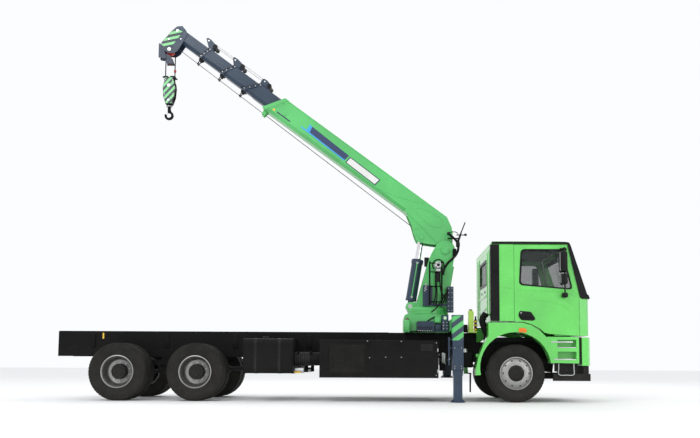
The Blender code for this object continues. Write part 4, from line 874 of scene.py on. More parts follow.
def steps():
    for side, word in SIDES:
        y = sided(side, 1.064, 1.212)
        bm = bmesh.new()
        for z in (0.765, 0.980):
            add_box(bm, (4.334, y[0], z), (4.666, y[1], z + 0.012), 0.002)
            for i in range(11):
                x = 4.350 + 0.030 * i
                add_box(bm, (x, y[0] + 0.010, z + 0.011), (x + 0.016, y[1] - 0.004, z + 0.018), 0.002)
        finish_mesh("step_treads_" + word, bm, "alu", "chassis")
        bm = bmesh.new()
        for z in (1.092, 0.780):
            add_box(bm, (4.215 if z > 1 else 4.262, sided(side, 1.214, 1.222)[0], z - 0.016),
                    (4.606 if z > 1 else 4.585, sided(side, 1.214, 1.222)[1], z + 0.006), 0.003)
        finish_mesh("step_edges_" + word, bm, "alu", "chassis")
        far = side * 1.195
        tube("rod_step_" + word,
             [(4.352, far, 0.705), (4.350, far, 0.600), (4.352, far, 0.510), (4.372, far, 0.497),
                                 (4.490, far, 0.495), (4.602, far, 0.497), (4.622, far, 0.510),
                                 (4.624, far, 0.600),
                                 (4.622, far, 0.705)], 0.0085, "alu", "chassis")
        bm = bmesh.new()
        add_plate(bm, [(4.300, 0.702), (4.300, 0.560), (4.690, 0.520), (4.716, 0.702)],
                  *sided(side, 1.040, 1.080))
        finish_mesh("step_back_panel_" + word, bm, "trim", "chassis")


def mirrors():
    for side, word in SIDES:
        body = "door_" + word
        bar_x, bar_y = 4.455, side * 1.330
        bm = bmesh.new()
        big = sided(side, 1.288, 1.478)
        add_box(bm, (4.347, big[0], 2.332), (4.483, big[1], 2.708), 0.035, 4)
        small = sided(side, 1.293, 1.473)
        add_box(bm, (4.357, small[0], 2.112), (4.483, small[1], 2.298), 0.035, 4)
        add_rod(bm, (bar_x, bar_y, 1.900), (bar_x, bar_y, 2.785), 0.0135, 16)
        side_box(bm, side, (4.438, 4.472), (CAB_Y, 1.345), (2.768, 2.793), 0.008)
        side_box(bm, side, (4.408, 4.512), (CAB_Y, 1.344), (1.884, 1.972), 0.028, 4)
        side_box(bm, side, (4.390, 4.520), (CAB_Y, 1.250), (2.740, 2.793), 0.018, 3)
        shell = finish_mesh("mirror_shell_" + word, bm, "trim", body)
        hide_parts("mirror_" + word)
        bm = bmesh.new()
        add_box(bm, (4.343, big[0] + 0.014, 2.352), (4.349, big[1] - 0.014, 2.688), 0.003)
        add_box(bm, (4.353, small[0] + 0.014, 2.130), (4.359, small[1] - 0.014, 2.280), 0.003)
        finish_mesh("mirror_faces_" + word, bm, "mirror", body)


# ---- boom, in its own frame: u along it from its pivot, v across it
PIVOT = Vector(JOINTS["boom_lift"]["pos_m"])
REACH = Vector(JOINTS["telescope_2"]["axis"])
RISE = Vector((REACH.z, 0, -REACH.x))
TRAVEL = JOINTS["telescope_2"]["range_m"][1] if "range_m" in JOINTS["telescope_2"] else 3.3
COLLARS = ((5.190, 0.270), (5.725, 0.160), (6.260, 0.075))
EARS = (4.910, 5.650, 6.320)
ROLLERS = (4.740, 5.410, 6.100)
HEEL_HALF = 0.190


def at(u, v, y=0.0):
    return PIVOT + REACH * u + RISE * v + Vector((0, y, 0))


def xz(outline):
    """Boom-frame pairs as XZ pairs of the world at rest."""
    found = []
    for u, v in outline:
        point = at(u, v)
        found.append((point.x, point.z))
    return found


def uv_plate(bm, outline, low, high):
    add_plate(bm, xz(outline), low, high)


def boom_skin(bm, outline, half, stand=0.004):
    for side, _ in SIDES:
        uv_plate(bm, outline, *sided(side, half - 0.001, half + stand))


def rope_run(name, body, start, end, radius):
    bm = bmesh.new()
    add_rod(bm, at(start, 0.030 + 0.017 * (start - 0.81)), at(end, 0.030 + 0.017 * (end - 0.81)), radius, 10)
    finish_mesh(name, bm, "rope", body)


def boom_details():
    half = HEEL_HALF
    bm = bmesh.new()
    boom_skin(bm, [(4.584, 0.160), (4.500, 0.160), (4.245, 0.563), (4.328, 0.563)], half, 0.008)
    uv_plate(bm, [(4.327, 0.560), (4.327, 0.572), (4.230, 0.572), (4.230, 0.560)], -half, half)
    boom_skin(bm, [(4.455, 0.175), (4.435, 0.175), (4.195, 0.555), (4.215, 0.555)], half, 0.005)
    finish_mesh("base_mouth_band", bm, "crane_green", "boom")
    bm = bmesh.new()
    for side, _ in SIDES:
        for u, v in ((4.380, 0.330), (4.310, 0.470), (4.120, 0.300), (0.480, -0.110), (0.640, -0.095),
                     (0.700, 0.020)):
            spot = at(u, v, side * half)
            add_rod(bm, spot, spot + Vector((0, side * 0.014, 0)), 0.020, 6)
    finish_mesh("boom_bolts", bm, "crane_green", "boom")
    for side, word in SIDES:
        y = side * (half + 0.001)
        fold = [at(1.050, 0.165, y), at(0.780, 0.130, y), at(0.450, 0.075, y), at(0.200, 0.020, y)]
        tube("heel_fold_" + word, fold, 0.0075, "crane_green", "boom")
        loop = [at(0.925, 0.330, y), at(0.760, 0.430, y), at(0.581, 0.462, y), at(0.400, 0.450, y),
                at(0.330, 0.380, y),
                at(0.400, 0.280, y), at(0.530, 0.235, y), at(0.700, 0.245, y)]
        tube("heel_panel_" + word, loop, 0.0045, "crane_green", "boom", closed=True)
        sweep = [at(1.787, 0.211, y), at(1.417, 0.295, y), at(1.150, 0.390, y), at(0.887, 0.498, y)]
        tube("side_sweep_" + word, sweep, 0.004, "crane_green", "boom")
        edge = [at(1.500, 0.545, y), at(2.600, 0.545, y), at(4.200, 0.545, y)]
        tube("top_weld_" + word, edge, 0.004, "crane_green", "boom")
        for label, look, outline, stand in (
            ("dark_row", "slate", [(4.290, 0.240), (3.960, 0.238), (3.960, 0.262), (4.290, 0.264)], 0.0020),
            ("amber_mark", "yellow", [(4.400, 0.236), (4.330, 0.236), (4.365, 0.290)], 0.0022),
            ("navy_band", "navy", [(3.560, 0.290), (2.640, 0.264), (2.620, 0.396), (3.590, 0.432)], 0.0020),
            ("blue_edge", "blue", [(3.730, 0.288), (2.640, 0.258), (2.640, 0.282), (3.715, 0.312)], 0.0030),
            ("blue_tip", "blue", [(3.600, 0.300), (3.520, 0.300), (3.550, 0.430), (3.610, 0.440)], 0.0034),
            ("dark_border", "slate", [(2.600, 0.246), (1.860, 0.228), (1.838, 0.378), (2.590, 0.392)],
             0.0020),
            ("white_band", "white", [(2.580, 0.260), (1.880, 0.244), (1.860, 0.362), (2.570, 0.376)], 0.0030),
        ):
            bm = bmesh.new()
            uv_plate(bm, outline, *sided(side, half - 0.001, half + stand))
            finish_mesh(f"plain_{label}_{word}", bm, look, "boom", smooth=False)
        bm = bmesh.new()
        spot = at(0.525, -0.043, side * half)
        add_rod(bm, spot, spot + Vector((0, side * 0.012, 0)), 0.062, 28)
        add_rod(bm, spot, spot + Vector((0, side * 0.024, 0)), 0.040, 28)
        finish_mesh("ram_pin_cap_" + word, bm, "crane_green", "boom")
    bm = bmesh.new()
    for start, end in ((0.9, 1.1), (2.2, 2.4), (3.5, 3.7)):
        uv_plate(bm, [(start, 0.563), (end, 0.563), (end, 0.574), (start, 0.574)], -0.120, 0.120)
    finish_mesh("top_pads", bm, "crane_green", "boom")
    rope_run("hoist_rope_base", "boom", 0.300, 4.560, 0.0075)
    starts = (4.560, 5.190, 5.725, 6.260)
    ends = (5.190, 5.725, 6.260, 6.760)
    for number, (start, end) in enumerate(zip(starts, ends), 2):
        rope_run(f"hoist_rope_{number}", f"section_{number}", max(0.5, start - TRAVEL), end,
                 0.0074 - 0.0002 * number)
    bm = bmesh.new()
    for side, _ in SIDES:
        uv_plate(bm, [(4.560, 0.162), (4.470, 0.162), (4.480, 0.050), (4.540, 0.050)],
                 *sided(side, 0.060, 0.068))
    add_rod(bm, at(4.510, 0.062, -0.068), at(4.510, 0.062, 0.068), 0.012, 12)
    finish_mesh("rope_guide_base", bm, "crane_green", "boom")


def section_details():
    for index, number in enumerate((2, 3, 4)):
        body = f"section_{number}"
        front, slant = COLLARS[index]
        drop = 0.009 * index
        half = 0.145 - drop
        low, high = 0.222 + drop, 0.511 - drop
        band = half + 0.010
        bm = bmesh.new()
        boom_skin(bm,
                  [(front - 0.018, low), (front - 0.032, low), (front - slant - 0.032, high),
                   (front - slant - 0.018, high)],
                  band, 0.007)
        finish_mesh(f"collar_rim_{number}", bm, "trim", body, smooth=False)
        bm = bmesh.new()
        for side, _ in SIDES:
            for t in (0.12, 0.40, 0.70, 0.95):
                spot = at(front - 0.045 - slant * t, low + (high - low) * t, side * band)
                add_rod(bm, spot, spot + Vector((0, side * 0.008, 0)), 0.010, 6)
            ear = at(EARS[index] - 0.040, 0.610, side * (half - 0.020))
            add_rod(bm, ear, ear + Vector((0, side * 0.012, 0)), 0.016, 12)
        finish_mesh(f"collar_bolts_{number}", bm, "steel", body)
        bm = bmesh.new()
        roller = ROLLERS[index]
        add_rod(bm, at(roller, 0.590, -half + 0.040), at(roller, 0.590, half - 0.040), 0.036, 24)
        add_rod(bm, at(roller - 0.020, 0.575, -half + 0.010), at(roller - 0.020, 0.575, half - 0.010),
                0.012, 12)
        for side, _ in SIDES:
            spot = at(roller, 0.590, side * (half - 0.040))
            add_rod(bm, spot, spot + Vector((0, side * 0.045, 0)), 0.044, 20)
        finish_mesh(f"collar_roller_{number}", bm, "trim", body)
        bm = bmesh.new()
        for side, _ in SIDES:
            uv_plate(bm,
                     [(front - 0.020, low), (front - 0.100, low), (front - 0.085, low - 0.055),
                      (front - 0.035, low - 0.055)],
                     *sided(side, 0.050, 0.058))
        line = 0.030 + 0.017 * (front - 0.81 - 0.06)
        for side, _ in SIDES:
            uv_plate(bm,
                     [(front - 0.050, low - 0.050), (front - 0.070, low - 0.050),
                      (front - 0.070, line - 0.020),
                          (front - 0.050, line - 0.020)], *sided(side, 0.046, 0.052))
        add_rod(bm, at(front - 0.060, line - 0.016, -0.052), at(front - 0.060, line - 0.016, 0.052), 0.007,
                10)
        add_rod(bm, at(front - 0.060, line + 0.016, -0.052), at(front - 0.060, line + 0.016, 0.052), 0.007,
                10)
        finish_mesh(f"rope_guide_{number}", bm, "trim", body)
        if index:
            bm = bmesh.new()
            for side, _ in SIDES:
                y = side * (half - 0.034)
                add_rod(bm, at(EARS[index - 1], 0.632, y), at(EARS[index] - 0.240, 0.632, y), 0.0055, 10)
            finish_mesh(f"tie_rods_{number}", bm, "steel", body)
        bm = bmesh.new()
        boom_skin(bm,
                  [(front - 0.110, 0.345), (front - 0.480, 0.345), (front - 0.480, 0.352),
                   (front - 0.110, 0.352)], half, 0.003)
        finish_mesh(f"section_weld_{number}", bm, "slate", body)


def head_details():
    body = "section_5"
    out = 0.128
    bm = bmesh.new()
    boom_skin(bm,
              [(6.800, 0.440), (6.945, 0.425), (6.984, 0.318), (7.003, 0.014), (6.970, -0.018),
               (6.915, -0.022), (6.797, 0.107)],
              out, 0.004)
    finish_mesh("head_striped_plates", bm, "head_stripes", body, smooth=False)
    bm = bmesh.new()
    crown = [(6.790, 0.508), (6.882, 0.531), (6.950, 0.470), (6.930, 0.440), (6.800, 0.450)]
    boom_skin(bm, crown, out, 0.008)
    uv_plate(bm, [(6.780, 0.506), (6.880, 0.533), (6.880, 0.525), (6.780, 0.498)], -out, out)
    uv_plate(bm, [(6.880, 0.533), (6.966, 0.455), (6.960, 0.450), (6.880, 0.525)], -out, out)
    finish_mesh("head_crown", bm, "slate", body)
    bm = bmesh.new()
    add_turned(bm,
               [(0.0, -0.060), (0.074, -0.060), (0.078, -0.045), (0.052, -0.030), (0.052, -0.010),
                (0.078, 0.0),
                    (0.052, 0.010), (0.052, 0.030), (0.078, 0.045), (0.074, 0.060), (0.0, 0.060)],
                    at(6.900, 0.400), sides=36)
    finish_mesh("head_top_sheaves", bm, "cast", body)
    bm = bmesh.new()
    for side, _ in SIDES:
        for u, v, r in ((6.900, 0.400, 0.026), (6.930, 0.160, 0.016), (6.800, 0.0, 0.036),
                        (6.740, 0.300, 0.012)):
            spot = at(u, v, side * out)
            add_rod(bm, spot, spot + Vector((0, side * 0.012, 0)), r, 20)
    finish_mesh("head_pins", bm, "steel", body)
    bm = bmesh.new()
    box_at = at(6.800, 0.0)
    for side, _ in SIDES:
        plate = [(-3.214, 6.960), (-3.292, 7.046), (-3.310, 6.751), (-3.157, 6.725)]
        add_plate(bm, plate, *sided(side, 0.084, 0.094))
        lower = [(-3.185, 6.843), (-3.070, 6.777), (-3.016, 6.633), (-3.174, 6.633)]
        add_plate(bm, lower, *sided(side, 0.060, 0.070))
    for side, _ in SIDES:
        y = sided(side, 0.050, 0.092)
        add_box(bm, (-3.314, y[0], 6.751), (-3.300, y[1], 7.040), 0.004)
    finish_mesh("limit_switch_guard", bm, "slate", body)
    bm = bmesh.new()
    for side, _ in SIDES:
        y = sided(side, 0.036, 0.062)
        add_box(bm, (-3.150, y[0], 6.640), (-3.050, y[1], 6.690), 0.006)
    finish_mesh("limit_switch", bm, "brown", body)
    bm = bmesh.new()
    add_turned(bm,
               [(0.030, -0.046), (0.0845, -0.046), (0.068, -0.030), (0.0845, -0.014), (0.0845, 0.014),
                (0.068, 0.030),
                    (0.0845, 0.046), (0.030, 0.046)], box_at, sides=40)
    finish_mesh("head_sheave_grooves", bm, "red", body)


def hook_details():
    low, high = LOW["hook_block"], HIGH["hook_block"]
    x = (low.x + high.x) / 2
    for side, word in SIDES:
        bm = bmesh.new()
        cheek = [(x - 0.119, 6.148), (x - 0.072, 6.348), (x + 0.072, 6.348), (x + 0.119, 6.148),
                 (x + 0.104, 5.964), (x + 0.057, 5.816),
                 (x - 0.057, 5.816), (x - 0.104, 5.964)]
        add_plate(bm, cheek, *sided(side, 0.0745, 0.079))
        finish_mesh("block_striped_cheek_" + word, bm, "block_stripes", "hook_block", smooth=False)
        bm = bmesh.new()
        for z, r in ((6.180, 0.036), (5.880, 0.026)):
            add_rod(bm, (x, side * 0.078, z), (x, side * 0.094, z), r, 24)
        for dx, z in ((-0.070, 6.290), (0.070, 6.290), (-0.080, 6.000), (0.080, 6.000)):
            add_rod(bm, (x + dx, side * 0.078, z), (x + dx, side * 0.087, z), 0.010, 6)
        finish_mesh("block_pins_" + word, bm, "steel", "hook_block")
    bm = bmesh.new()
    add_plate(bm,
              [(x - 0.135, 6.352), (x - 0.105, 6.372), (x - 0.020, 6.372), (x - 0.020, 6.345),
               (x - 0.135, 6.345)], -0.085, -0.040)
    add_plate(bm,
              [(x + 0.020, 6.345), (x + 0.020, 6.372), (x + 0.105, 6.372), (x + 0.135, 6.352),
               (x + 0.135, 6.345)], -0.085, -0.040)
    add_plate(bm,
              [(x - 0.135, 6.352), (x - 0.105, 6.372), (x - 0.020, 6.372), (x - 0.020, 6.345),
               (x - 0.135, 6.345)], 0.040, 0.085)
    add_plate(bm,
              [(x + 0.020, 6.345), (x + 0.020, 6.372), (x + 0.105, 6.372), (x + 0.135, 6.352),
               (x + 0.135, 6.345)], 0.040, 0.085)
    finish_mesh("block_top_guards", bm, "trim", "hook_block")
    bm = bmesh.new()
    for y in (-0.022, 0.022):
        add_turned(bm, [(0.020, -0.016), (0.126, -0.016), (0.108, 0.0), (0.126, 0.016), (0.020, 0.016)],
                   (x, y, 6.180), sides=36)
    finish_mesh("block_sheaves", bm, "cast", "hook_block")
    bm = bmesh.new()
    add_turned(bm, [(0.009, -0.030), (0.022, -0.024), (0.026, 0.0), (0.022, 0.024), (0.009, 0.030)],
               (x + 0.0935, 0.011, 6.498), axis="Z", sides=20)
    finish_mesh("rope_weight", bm, "red", "hook_block")
    hook_low = LOW["hook"].z
    middle = hook_low + 0.088
    points = []
    for angle in range(70, -171, -20):
        a = math.radians(angle)
        points.append(Vector((x + 0.067 * math.cos(a), 0, middle + 0.067 * math.sin(a))))
    tube("hook_round", points, 0.0235, "cast", "hook")
    bm = bmesh.new()
    add_rod(bm, (x + 0.018, 0, middle + 0.070), (x - 0.062, 0, middle + 0.018), 0.008, 10)
    add_turned(bm,
               [(0.0, -0.006), (0.050, -0.006), (0.062, 0.004), (0.062, 0.016), (0.050, 0.022),
                (0.0, 0.022)],
               (x, 0, LOW["hook_block"].z + 0.0 - 0.050), axis="Z", sides=32)
    finish_mesh("hook_latch_and_nut", bm, "steel", "hook")


# ---- column and lift cylinder
COLUMN_Y = 0.245  # outer face of the column's side plates


def column_details():
    slew = Vector(JOINTS["slew"]["pos_m"])
    bm = bmesh.new()
    for i in range(40):
        a = 2 * math.pi * (i + 0.5) / 40
        x, y = slew.x + 0.372 * math.cos(a), slew.y + 0.372 * math.sin(a)
        if abs(y) > 0.262 or x > 2.430:
            add_rod(bm, (x, y, 1.768), (x, y, 1.784), 0.011, 6)
    finish_mesh("turntable_bolts", bm, "crane_green", "column")
    bm = bmesh.new()
    add_turned(bm, [(0.398, 1.640), (0.404, 1.644), (0.404, 1.652), (0.398, 1.656)], (slew.x, slew.y, 0),
               axis="Z", sides=64)
    add_turned(bm, [(0.398, 1.690), (0.406, 1.694), (0.406, 1.706), (0.398, 1.710)], (slew.x, slew.y, 0),
               axis="Z", sides=64)
    finish_mesh("turntable_rings", bm, "crane_green", "column")
    for side, word in SIDES:
        y = COLUMN_Y
        bm = bmesh.new()
        add_rod(bm, (PIVOT.x, side * (y + 0.028), PIVOT.z), (PIVOT.x, side * (y + 0.040), PIVOT.z), 0.062, 36)
        add_rod(bm, (PIVOT.x, side * (y + 0.038), PIVOT.z), (PIVOT.x, side * (y + 0.048), PIVOT.z), 0.034, 24)
        for a in (30, 150, 270):
            dx, dz = 0.048 * math.cos(math.radians(a)), 0.048 * math.sin(math.radians(a))
            add_rod(bm, (PIVOT.x + dx, side * (y + 0.038), PIVOT.z + dz),
                    (PIVOT.x + dx, side * (y + 0.048), PIVOT.z + dz), 0.008, 6)
        finish_mesh("boom_pin_cap_" + word, bm, "crane_green", "column")
        face = side * (y + 0.001)
        curve = [(2.140, 2.780), (2.190, 2.870), (2.290, 2.905), (2.400, 2.880), (2.480, 2.850),
                 (2.540, 2.850)]
        tube("fork_weld_" + word, [Vector((x, face, z)) for x, z in curve], 0.005, "crane_green", "column")
        low_curve = [(1.830, 1.800), (1.960, 2.200), (2.075, 2.640)]
        tube("plate_weld_" + word, [Vector((x, side * 0.243, z)) for x, z in low_curve], 0.006,
             "crane_green", "column")
        bm = bmesh.new()
        side_box(bm, side, (2.395, 2.445), (y, y + 0.003), (2.905, 2.935), 0.001)
        finish_mesh("plain_sticker_" + word, bm, "white", "column", smooth=False)
    # rotary motor with its ring of hose, at the head of the hose frame
    bm = bmesh.new()
    add_turned(bm,
               [(0.0, -0.470), (0.050, -0.470), (0.074, -0.450), (0.082, -0.400), (0.082, -0.300),
                (0.060, -0.246), (0.0, -0.246)],
               (2.240, 0, 2.560), sides=36)
    add_box(bm, (2.195, -0.440, 2.440), (2.285, -0.340, 2.510), 0.012, 3)
    finish_mesh("hose_motor", bm, "alu", "column")
    bm = bmesh.new()
    add_turned(bm, [(0.0, -0.476), (0.026, -0.476), (0.030, -0.468), (0.0, -0.468)], (2.240, 0, 2.565),
               sides=24)
    for i in range(5):
        a = 2 * math.pi * i / 5
        add_rod(bm, (2.240 + 0.050 * math.cos(a), -0.474, 2.560 + 0.050 * math.sin(a)),
                (2.240 + 0.050 * math.cos(a), -0.462, 2.560 + 0.050 * math.sin(a)), 0.008, 6)
    finish_mesh("hose_motor_cap", bm, "trim", "column")
    loop = [Vector((2.240 + 0.108 * math.cos(a), -0.430, 2.560 + 0.108 * math.sin(a))) for a in
            [math.radians(k) for k in range(-20, 221, 30)]]
    tube("motor_hose_loop", loop, 0.013, "hose", "column")
    big = [Vector(p) for p in ((2.330, -0.440, 2.380), (2.345, -0.430, 2.470), (2.420, -0.390, 2.600),
                               (2.520, -0.340, 2.700),
                               (2.600, -0.320, 2.800), (2.635, -0.300, 2.920), (2.610, -0.300, 3.030),
                               (2.530, -0.300, 3.120),
                               (2.430, -0.300, 3.205))]
    tube("main_hose", big, 0.024, "hose", "column")
    thin = [Vector(p) for p in ((2.445, -0.300, 3.215), (2.520, -0.300, 3.225), (2.600, -0.310, 3.215),
                                (2.640, -0.310, 3.160))]
    tube("thin_hose", thin, 0.007, "hose", "column")
    bm = bmesh.new()
    add_rod(bm, (2.620, -0.305, 3.010), (2.690, -0.305, 3.210), 0.026, 12, 0.016)
    add_rod(bm, (2.680, -0.305, 3.190), (2.768, -0.305, 3.412), 0.011, 12)
    add_rod(bm, (2.600, -0.305, 3.165), (2.780, -0.305, 3.165), 0.010, 12)
    add_rod(bm, (2.775, -0.305, 3.150), (2.775, -0.305, 3.190), 0.024, 16)
    add_box(bm, (2.590, -0.330, 2.930), (2.665, -0.280, 3.030), 0.012, 3)
    add_box(bm, (2.420, -0.330, 3.165), (2.485, -0.275, 3.220), 0.010, 3)
    finish_mesh("work_lamp_stand", bm, "trim", "column")
    bm = bmesh.new()
    add_box(bm, (2.430, -0.300, 3.090), (2.640, -0.250, 3.112), 0.006)
    add_box(bm, (2.530, -0.300, 2.760), (2.600, -0.240, 2.900), 0.006)
    finish_mesh("hose_bracket", bm, "black_steel", "column")
    # hoses down the frame and the gear on the two boxes
    for number, points in enumerate((
        ((2.190, -0.420, 2.440), (2.185, -0.420, 2.250), (2.190, -0.420, 2.000), (2.150, -0.400, 1.830)),
        ((2.215, -0.415, 2.440), (2.212, -0.415, 2.200), (2.215, -0.410, 1.950), (2.200, -0.380, 1.815)),
        ((2.265, -0.425, 2.440), (2.270, -0.425, 2.240), (2.300, -0.420, 2.060), (2.400, -0.370, 1.900)),
        ((2.320, -0.425, 1.960), (2.280, -0.425, 1.860), (2.200, -0.440, 1.740), (2.110, -0.450, 1.660)),
    ), 1):
        tube(f"frame_hose_{number}", [Vector(p) for p in points], 0.011, "hose", "column")
    bm = bmesh.new()
    add_box(bm, (2.200, -0.430, 2.290), (2.262, -0.370, 2.430), 0.010, 3)
    add_box(bm, (2.185, -0.430, 2.240), (2.272, -0.390, 2.300), 0.008, 3)
    finish_mesh("hose_manifold", bm, "trim", "column")
    low = LOW["valve_box"]
    bm = bmesh.new()
    for i in range(6):
        z = 1.700 + 0.085 * i
        add_rod(bm, (2.440, low.y + 0.034, z), (2.440, low.y + 0.026, z), 0.009, 6)
        add_rod(bm, (2.505, low.y + 0.034, z), (2.505, low.y + 0.026, z), 0.009, 6)
    finish_mesh("tower_bolts", bm, "steel", "column")
    bm = bmesh.new()
    for i in range(7):
        z = 1.820 + 0.034 * i
        add_box(bm, (1.958, low.y - 0.010, z), (2.122, low.y + 0.004, z + 0.012), 0.003)
    finish_mesh("valve_stack_ribs", bm, "slate", "column")
    bm = bmesh.new()
    for i in range(4):
        z = 2.075 + 0.024 * i
        add_rod(bm, (1.985 + 0.02 * (i % 2), low.y - 0.026, z), (1.985 + 0.02 * (i % 2), low.y + 0.002, z),
                0.012, 12)
    add_rod(bm, (2.010, low.y + 0.040, 2.170), (2.010, low.y + 0.040, 2.215), 0.020, 16)
    add_rod(bm, (2.070, low.y + 0.050, 2.170), (2.070, low.y + 0.050, 2.200), 0.016, 16)
    finish_mesh("valve_fittings", bm, "steel", "column")
    for number, dx in enumerate((0.0, 0.035, 0.070), 1):
        path = [Vector((2.300 + dx, low.y + 0.010, 1.840)), Vector((2.330 + dx, low.y - 0.020, 1.930)),
                Vector((2.375 + dx * 0.6, low.y - 0.010, 2.010)), Vector((2.415, low.y + 0.045, 2.060 + dx))]
        tube(f"tower_hose_{number}", path, 0.012, "hose", "column")
    bm = bmesh.new()
    add_box(bm, (2.300, -0.262, 1.960), (2.400, -0.244, 2.120), 0.010)
    finish_mesh("column_cover", bm, "crane_green", "column")


def cylinder_details():
    base = Vector(JOINTS["lift_barrel_tilt"]["pos_m"])
    line = Vector(JOINTS["lift_rod_slide"]["axis"])
    near = Vector((0, -1, 0))
    bm = bmesh.new()
    add_rod(bm, base + line * 0.925, base + line * 0.944, 0.098, 40)
    add_rod(bm, base + line * 0.130, base + line * 0.150, 0.111, 40)
    finish_mesh("barrel_rings", bm, "slate", "lift_barrel")
    bm = bmesh.new()
    for at_s in (0.190, 0.860):
        spot = base + line * at_s + near * 0.118
        add_rod(bm, spot - near * 0.020, spot + near * 0.020, 0.022, 16)
    finish_mesh("barrel_ports", bm, "steel", "lift_barrel")
    pipe = [base + line * 0.190 + near * 0.138, base + line * 0.260 + near * 0.145,
            base + line * 0.800 + near * 0.145,
            base + line * 0.860 + near * 0.138]
    tube("barrel_pipe", pipe, 0.010, "crane_green", "lift_barrel")
    bm = bmesh.new()
    add_rod(bm, base + line * 0.942, base + line * 0.950, 0.064, 32)
    finish_mesh("rod_wiper", bm, "trim", "lift_barrel")
    bm = bmesh.new()
    for side, _ in SIDES:
        add_rod(bm, base + Vector((0, side * 0.128, 0)), base + Vector((0, side * 0.142, 0)), 0.045, 28)
    finish_mesh("barrel_pin_caps", bm, "steel", "column")
    bm = bmesh.new()
    add_box(bm, (1.985, -0.214, 2.560), (2.075, -0.150, 2.740), 0.012, 3)
    finish_mesh("column_hose_box", bm, "trim", "column")


# ---- base, controls and outriggers
def base_details():
    bm = bmesh.new()
    add_turned(bm, [(0, 1.290), (0.062, 1.290), (0.070, 1.310), (0.070, 1.480), (0.058, 1.505), (0, 1.505)],
               (1.640, -0.555, 0), axis="Z", sides=32)
    add_box(bm, (1.590, -0.610, 1.276), (1.690, -0.480, 1.296), 0.004)
    finish_mesh("base_filter", bm, "crane_green", "chassis")
    bm = bmesh.new()
    add_turned(bm, [(0, 1.500), (0.036, 1.500), (0.034, 1.530), (0.022, 1.545), (0, 1.545)],
               (1.640, -0.555, 0), axis="Z", sides=20)
    finish_mesh("base_filter_cap", bm, "brown", "chassis")
    low = LOW["control_bank"]
    bm = bmesh.new()
    for i in range(7):
        x = 1.850 + 0.042 * i
        add_rod(bm, (x, low.y + 0.004, 1.350), (x - 0.004, low.y - 0.040, 1.300), 0.0045, 8)
        add_box(bm, (x - 0.010, low.y - 0.004, 1.345), (x + 0.010, low.y + 0.004, 1.385), 0.004)
    finish_mesh("control_levers", bm, "trim", "chassis")
    bm = bmesh.new()
    for i in range(7):
        x = 1.846 + 0.042 * i
        add_turned(bm, [(0, -0.012), (0.009, -0.008), (0.012, 0.0), (0.009, 0.008), (0, 0.012)],
                   (x, low.y - 0.043, 1.296), axis="Z", sides=14)
    finish_mesh("lever_knobs", bm, "alu", "chassis")
    bm = bmesh.new()
    add_box(bm, (1.870, low.y - 0.001, 1.438), (2.100, low.y + 0.016, 1.466), 0.004)
    finish_mesh("control_plain_plate", bm, "slate", "chassis")
    bm = bmesh.new()
    add_box(bm, (2.165, -0.640, 1.312), (2.278, -0.490, 1.420), 0.012, 3)
    add_rod(bm, (2.190, -0.560, 1.418), (2.190, -0.560, 1.450), 0.020, 16)
    add_rod(bm, (2.245, -0.560, 1.418), (2.245, -0.560, 1.440), 0.016, 16)
    finish_mesh("relief_valve", bm, "slate", "chassis")
    bm = bmesh.new()
    add_box(bm, (2.160, -0.620, 1.450), (2.285, -0.500, 1.560), 0.020, 3)
    finish_mesh("base_lug", bm, "crane_green", "chassis")
    bm = bmesh.new()
    add_rod(bm, (2.350, -0.664, 1.540), (2.350, -0.650, 1.540), 0.036, 28)
    finish_mesh("gauge_rim", bm, "crane_green", "chassis")
    bm = bmesh.new()
    add_rod(bm, (2.350, -0.667, 1.540), (2.350, -0.662, 1.540), 0.026, 28)
    finish_mesh("gauge_face", bm, "white", "chassis")
    bm = bmesh.new()
    for z in (1.345, 1.400, 1.455):
        add_rod(bm, (2.320, -0.672, z), (2.320, -0.650, z), 0.012, 12)
        add_rod(bm, (2.385, -0.668, z), (2.385, -0.650, z), 0.010, 12)
    finish_mesh("valve_plugs", bm, "steel", "chassis")
    for number, (x, dy) in enumerate(((1.860, 0.0), (1.900, 0.01), (1.950, 0.0)), 1):
        path = [Vector((x, -0.600, 1.310)), Vector((x - 0.060, -0.600 - dy, 1.290)),
                Vector((x - 0.150, -0.560, 1.285)),
                Vector((x - 0.230, -0.520 + dy, 1.286))]
        tube(f"control_hose_{number}", path, 0.012, "hose", "chassis")
    strap = [Vector((2.020, -0.500, 1.480)), Vector((2.090, -0.495, 1.530)), Vector((2.170, -0.490, 1.570))]
    tube("control_cable", strap, 0.011, "hose", "chassis")
    for side, word in SIDES:
        bm = bmesh.new()
        for x in (1.640, 1.780, 1.920, 2.060, 2.200, 2.340):
            add_rod(bm, (x, side * 0.460, 1.608), (x, side * 0.460, 1.622), 0.013, 6)
        for x in (1.620, 2.390):
            add_rod(bm, (x, side * 0.478, 1.350), (x, side * 0.492, 1.350), 0.016, 6)
        finish_mesh("base_bolts_" + word, bm, "crane_green", "chassis")
        bm = bmesh.new()
        for x in (1.600, 2.400):
            side_box(bm, side, (x - 0.030, x + 0.030), (0.431, 0.452), (0.980, 1.268), 0.006)
            add_rod(bm, (x, side * 0.450, 1.030), (x, side * 0.464, 1.030), 0.014, 6)
            add_rod(bm, (x, side * 0.450, 1.230), (x, side * 0.464, 1.230), 0.014, 6)
        finish_mesh("base_clamp_plates_" + word, bm, "black_steel", "chassis")


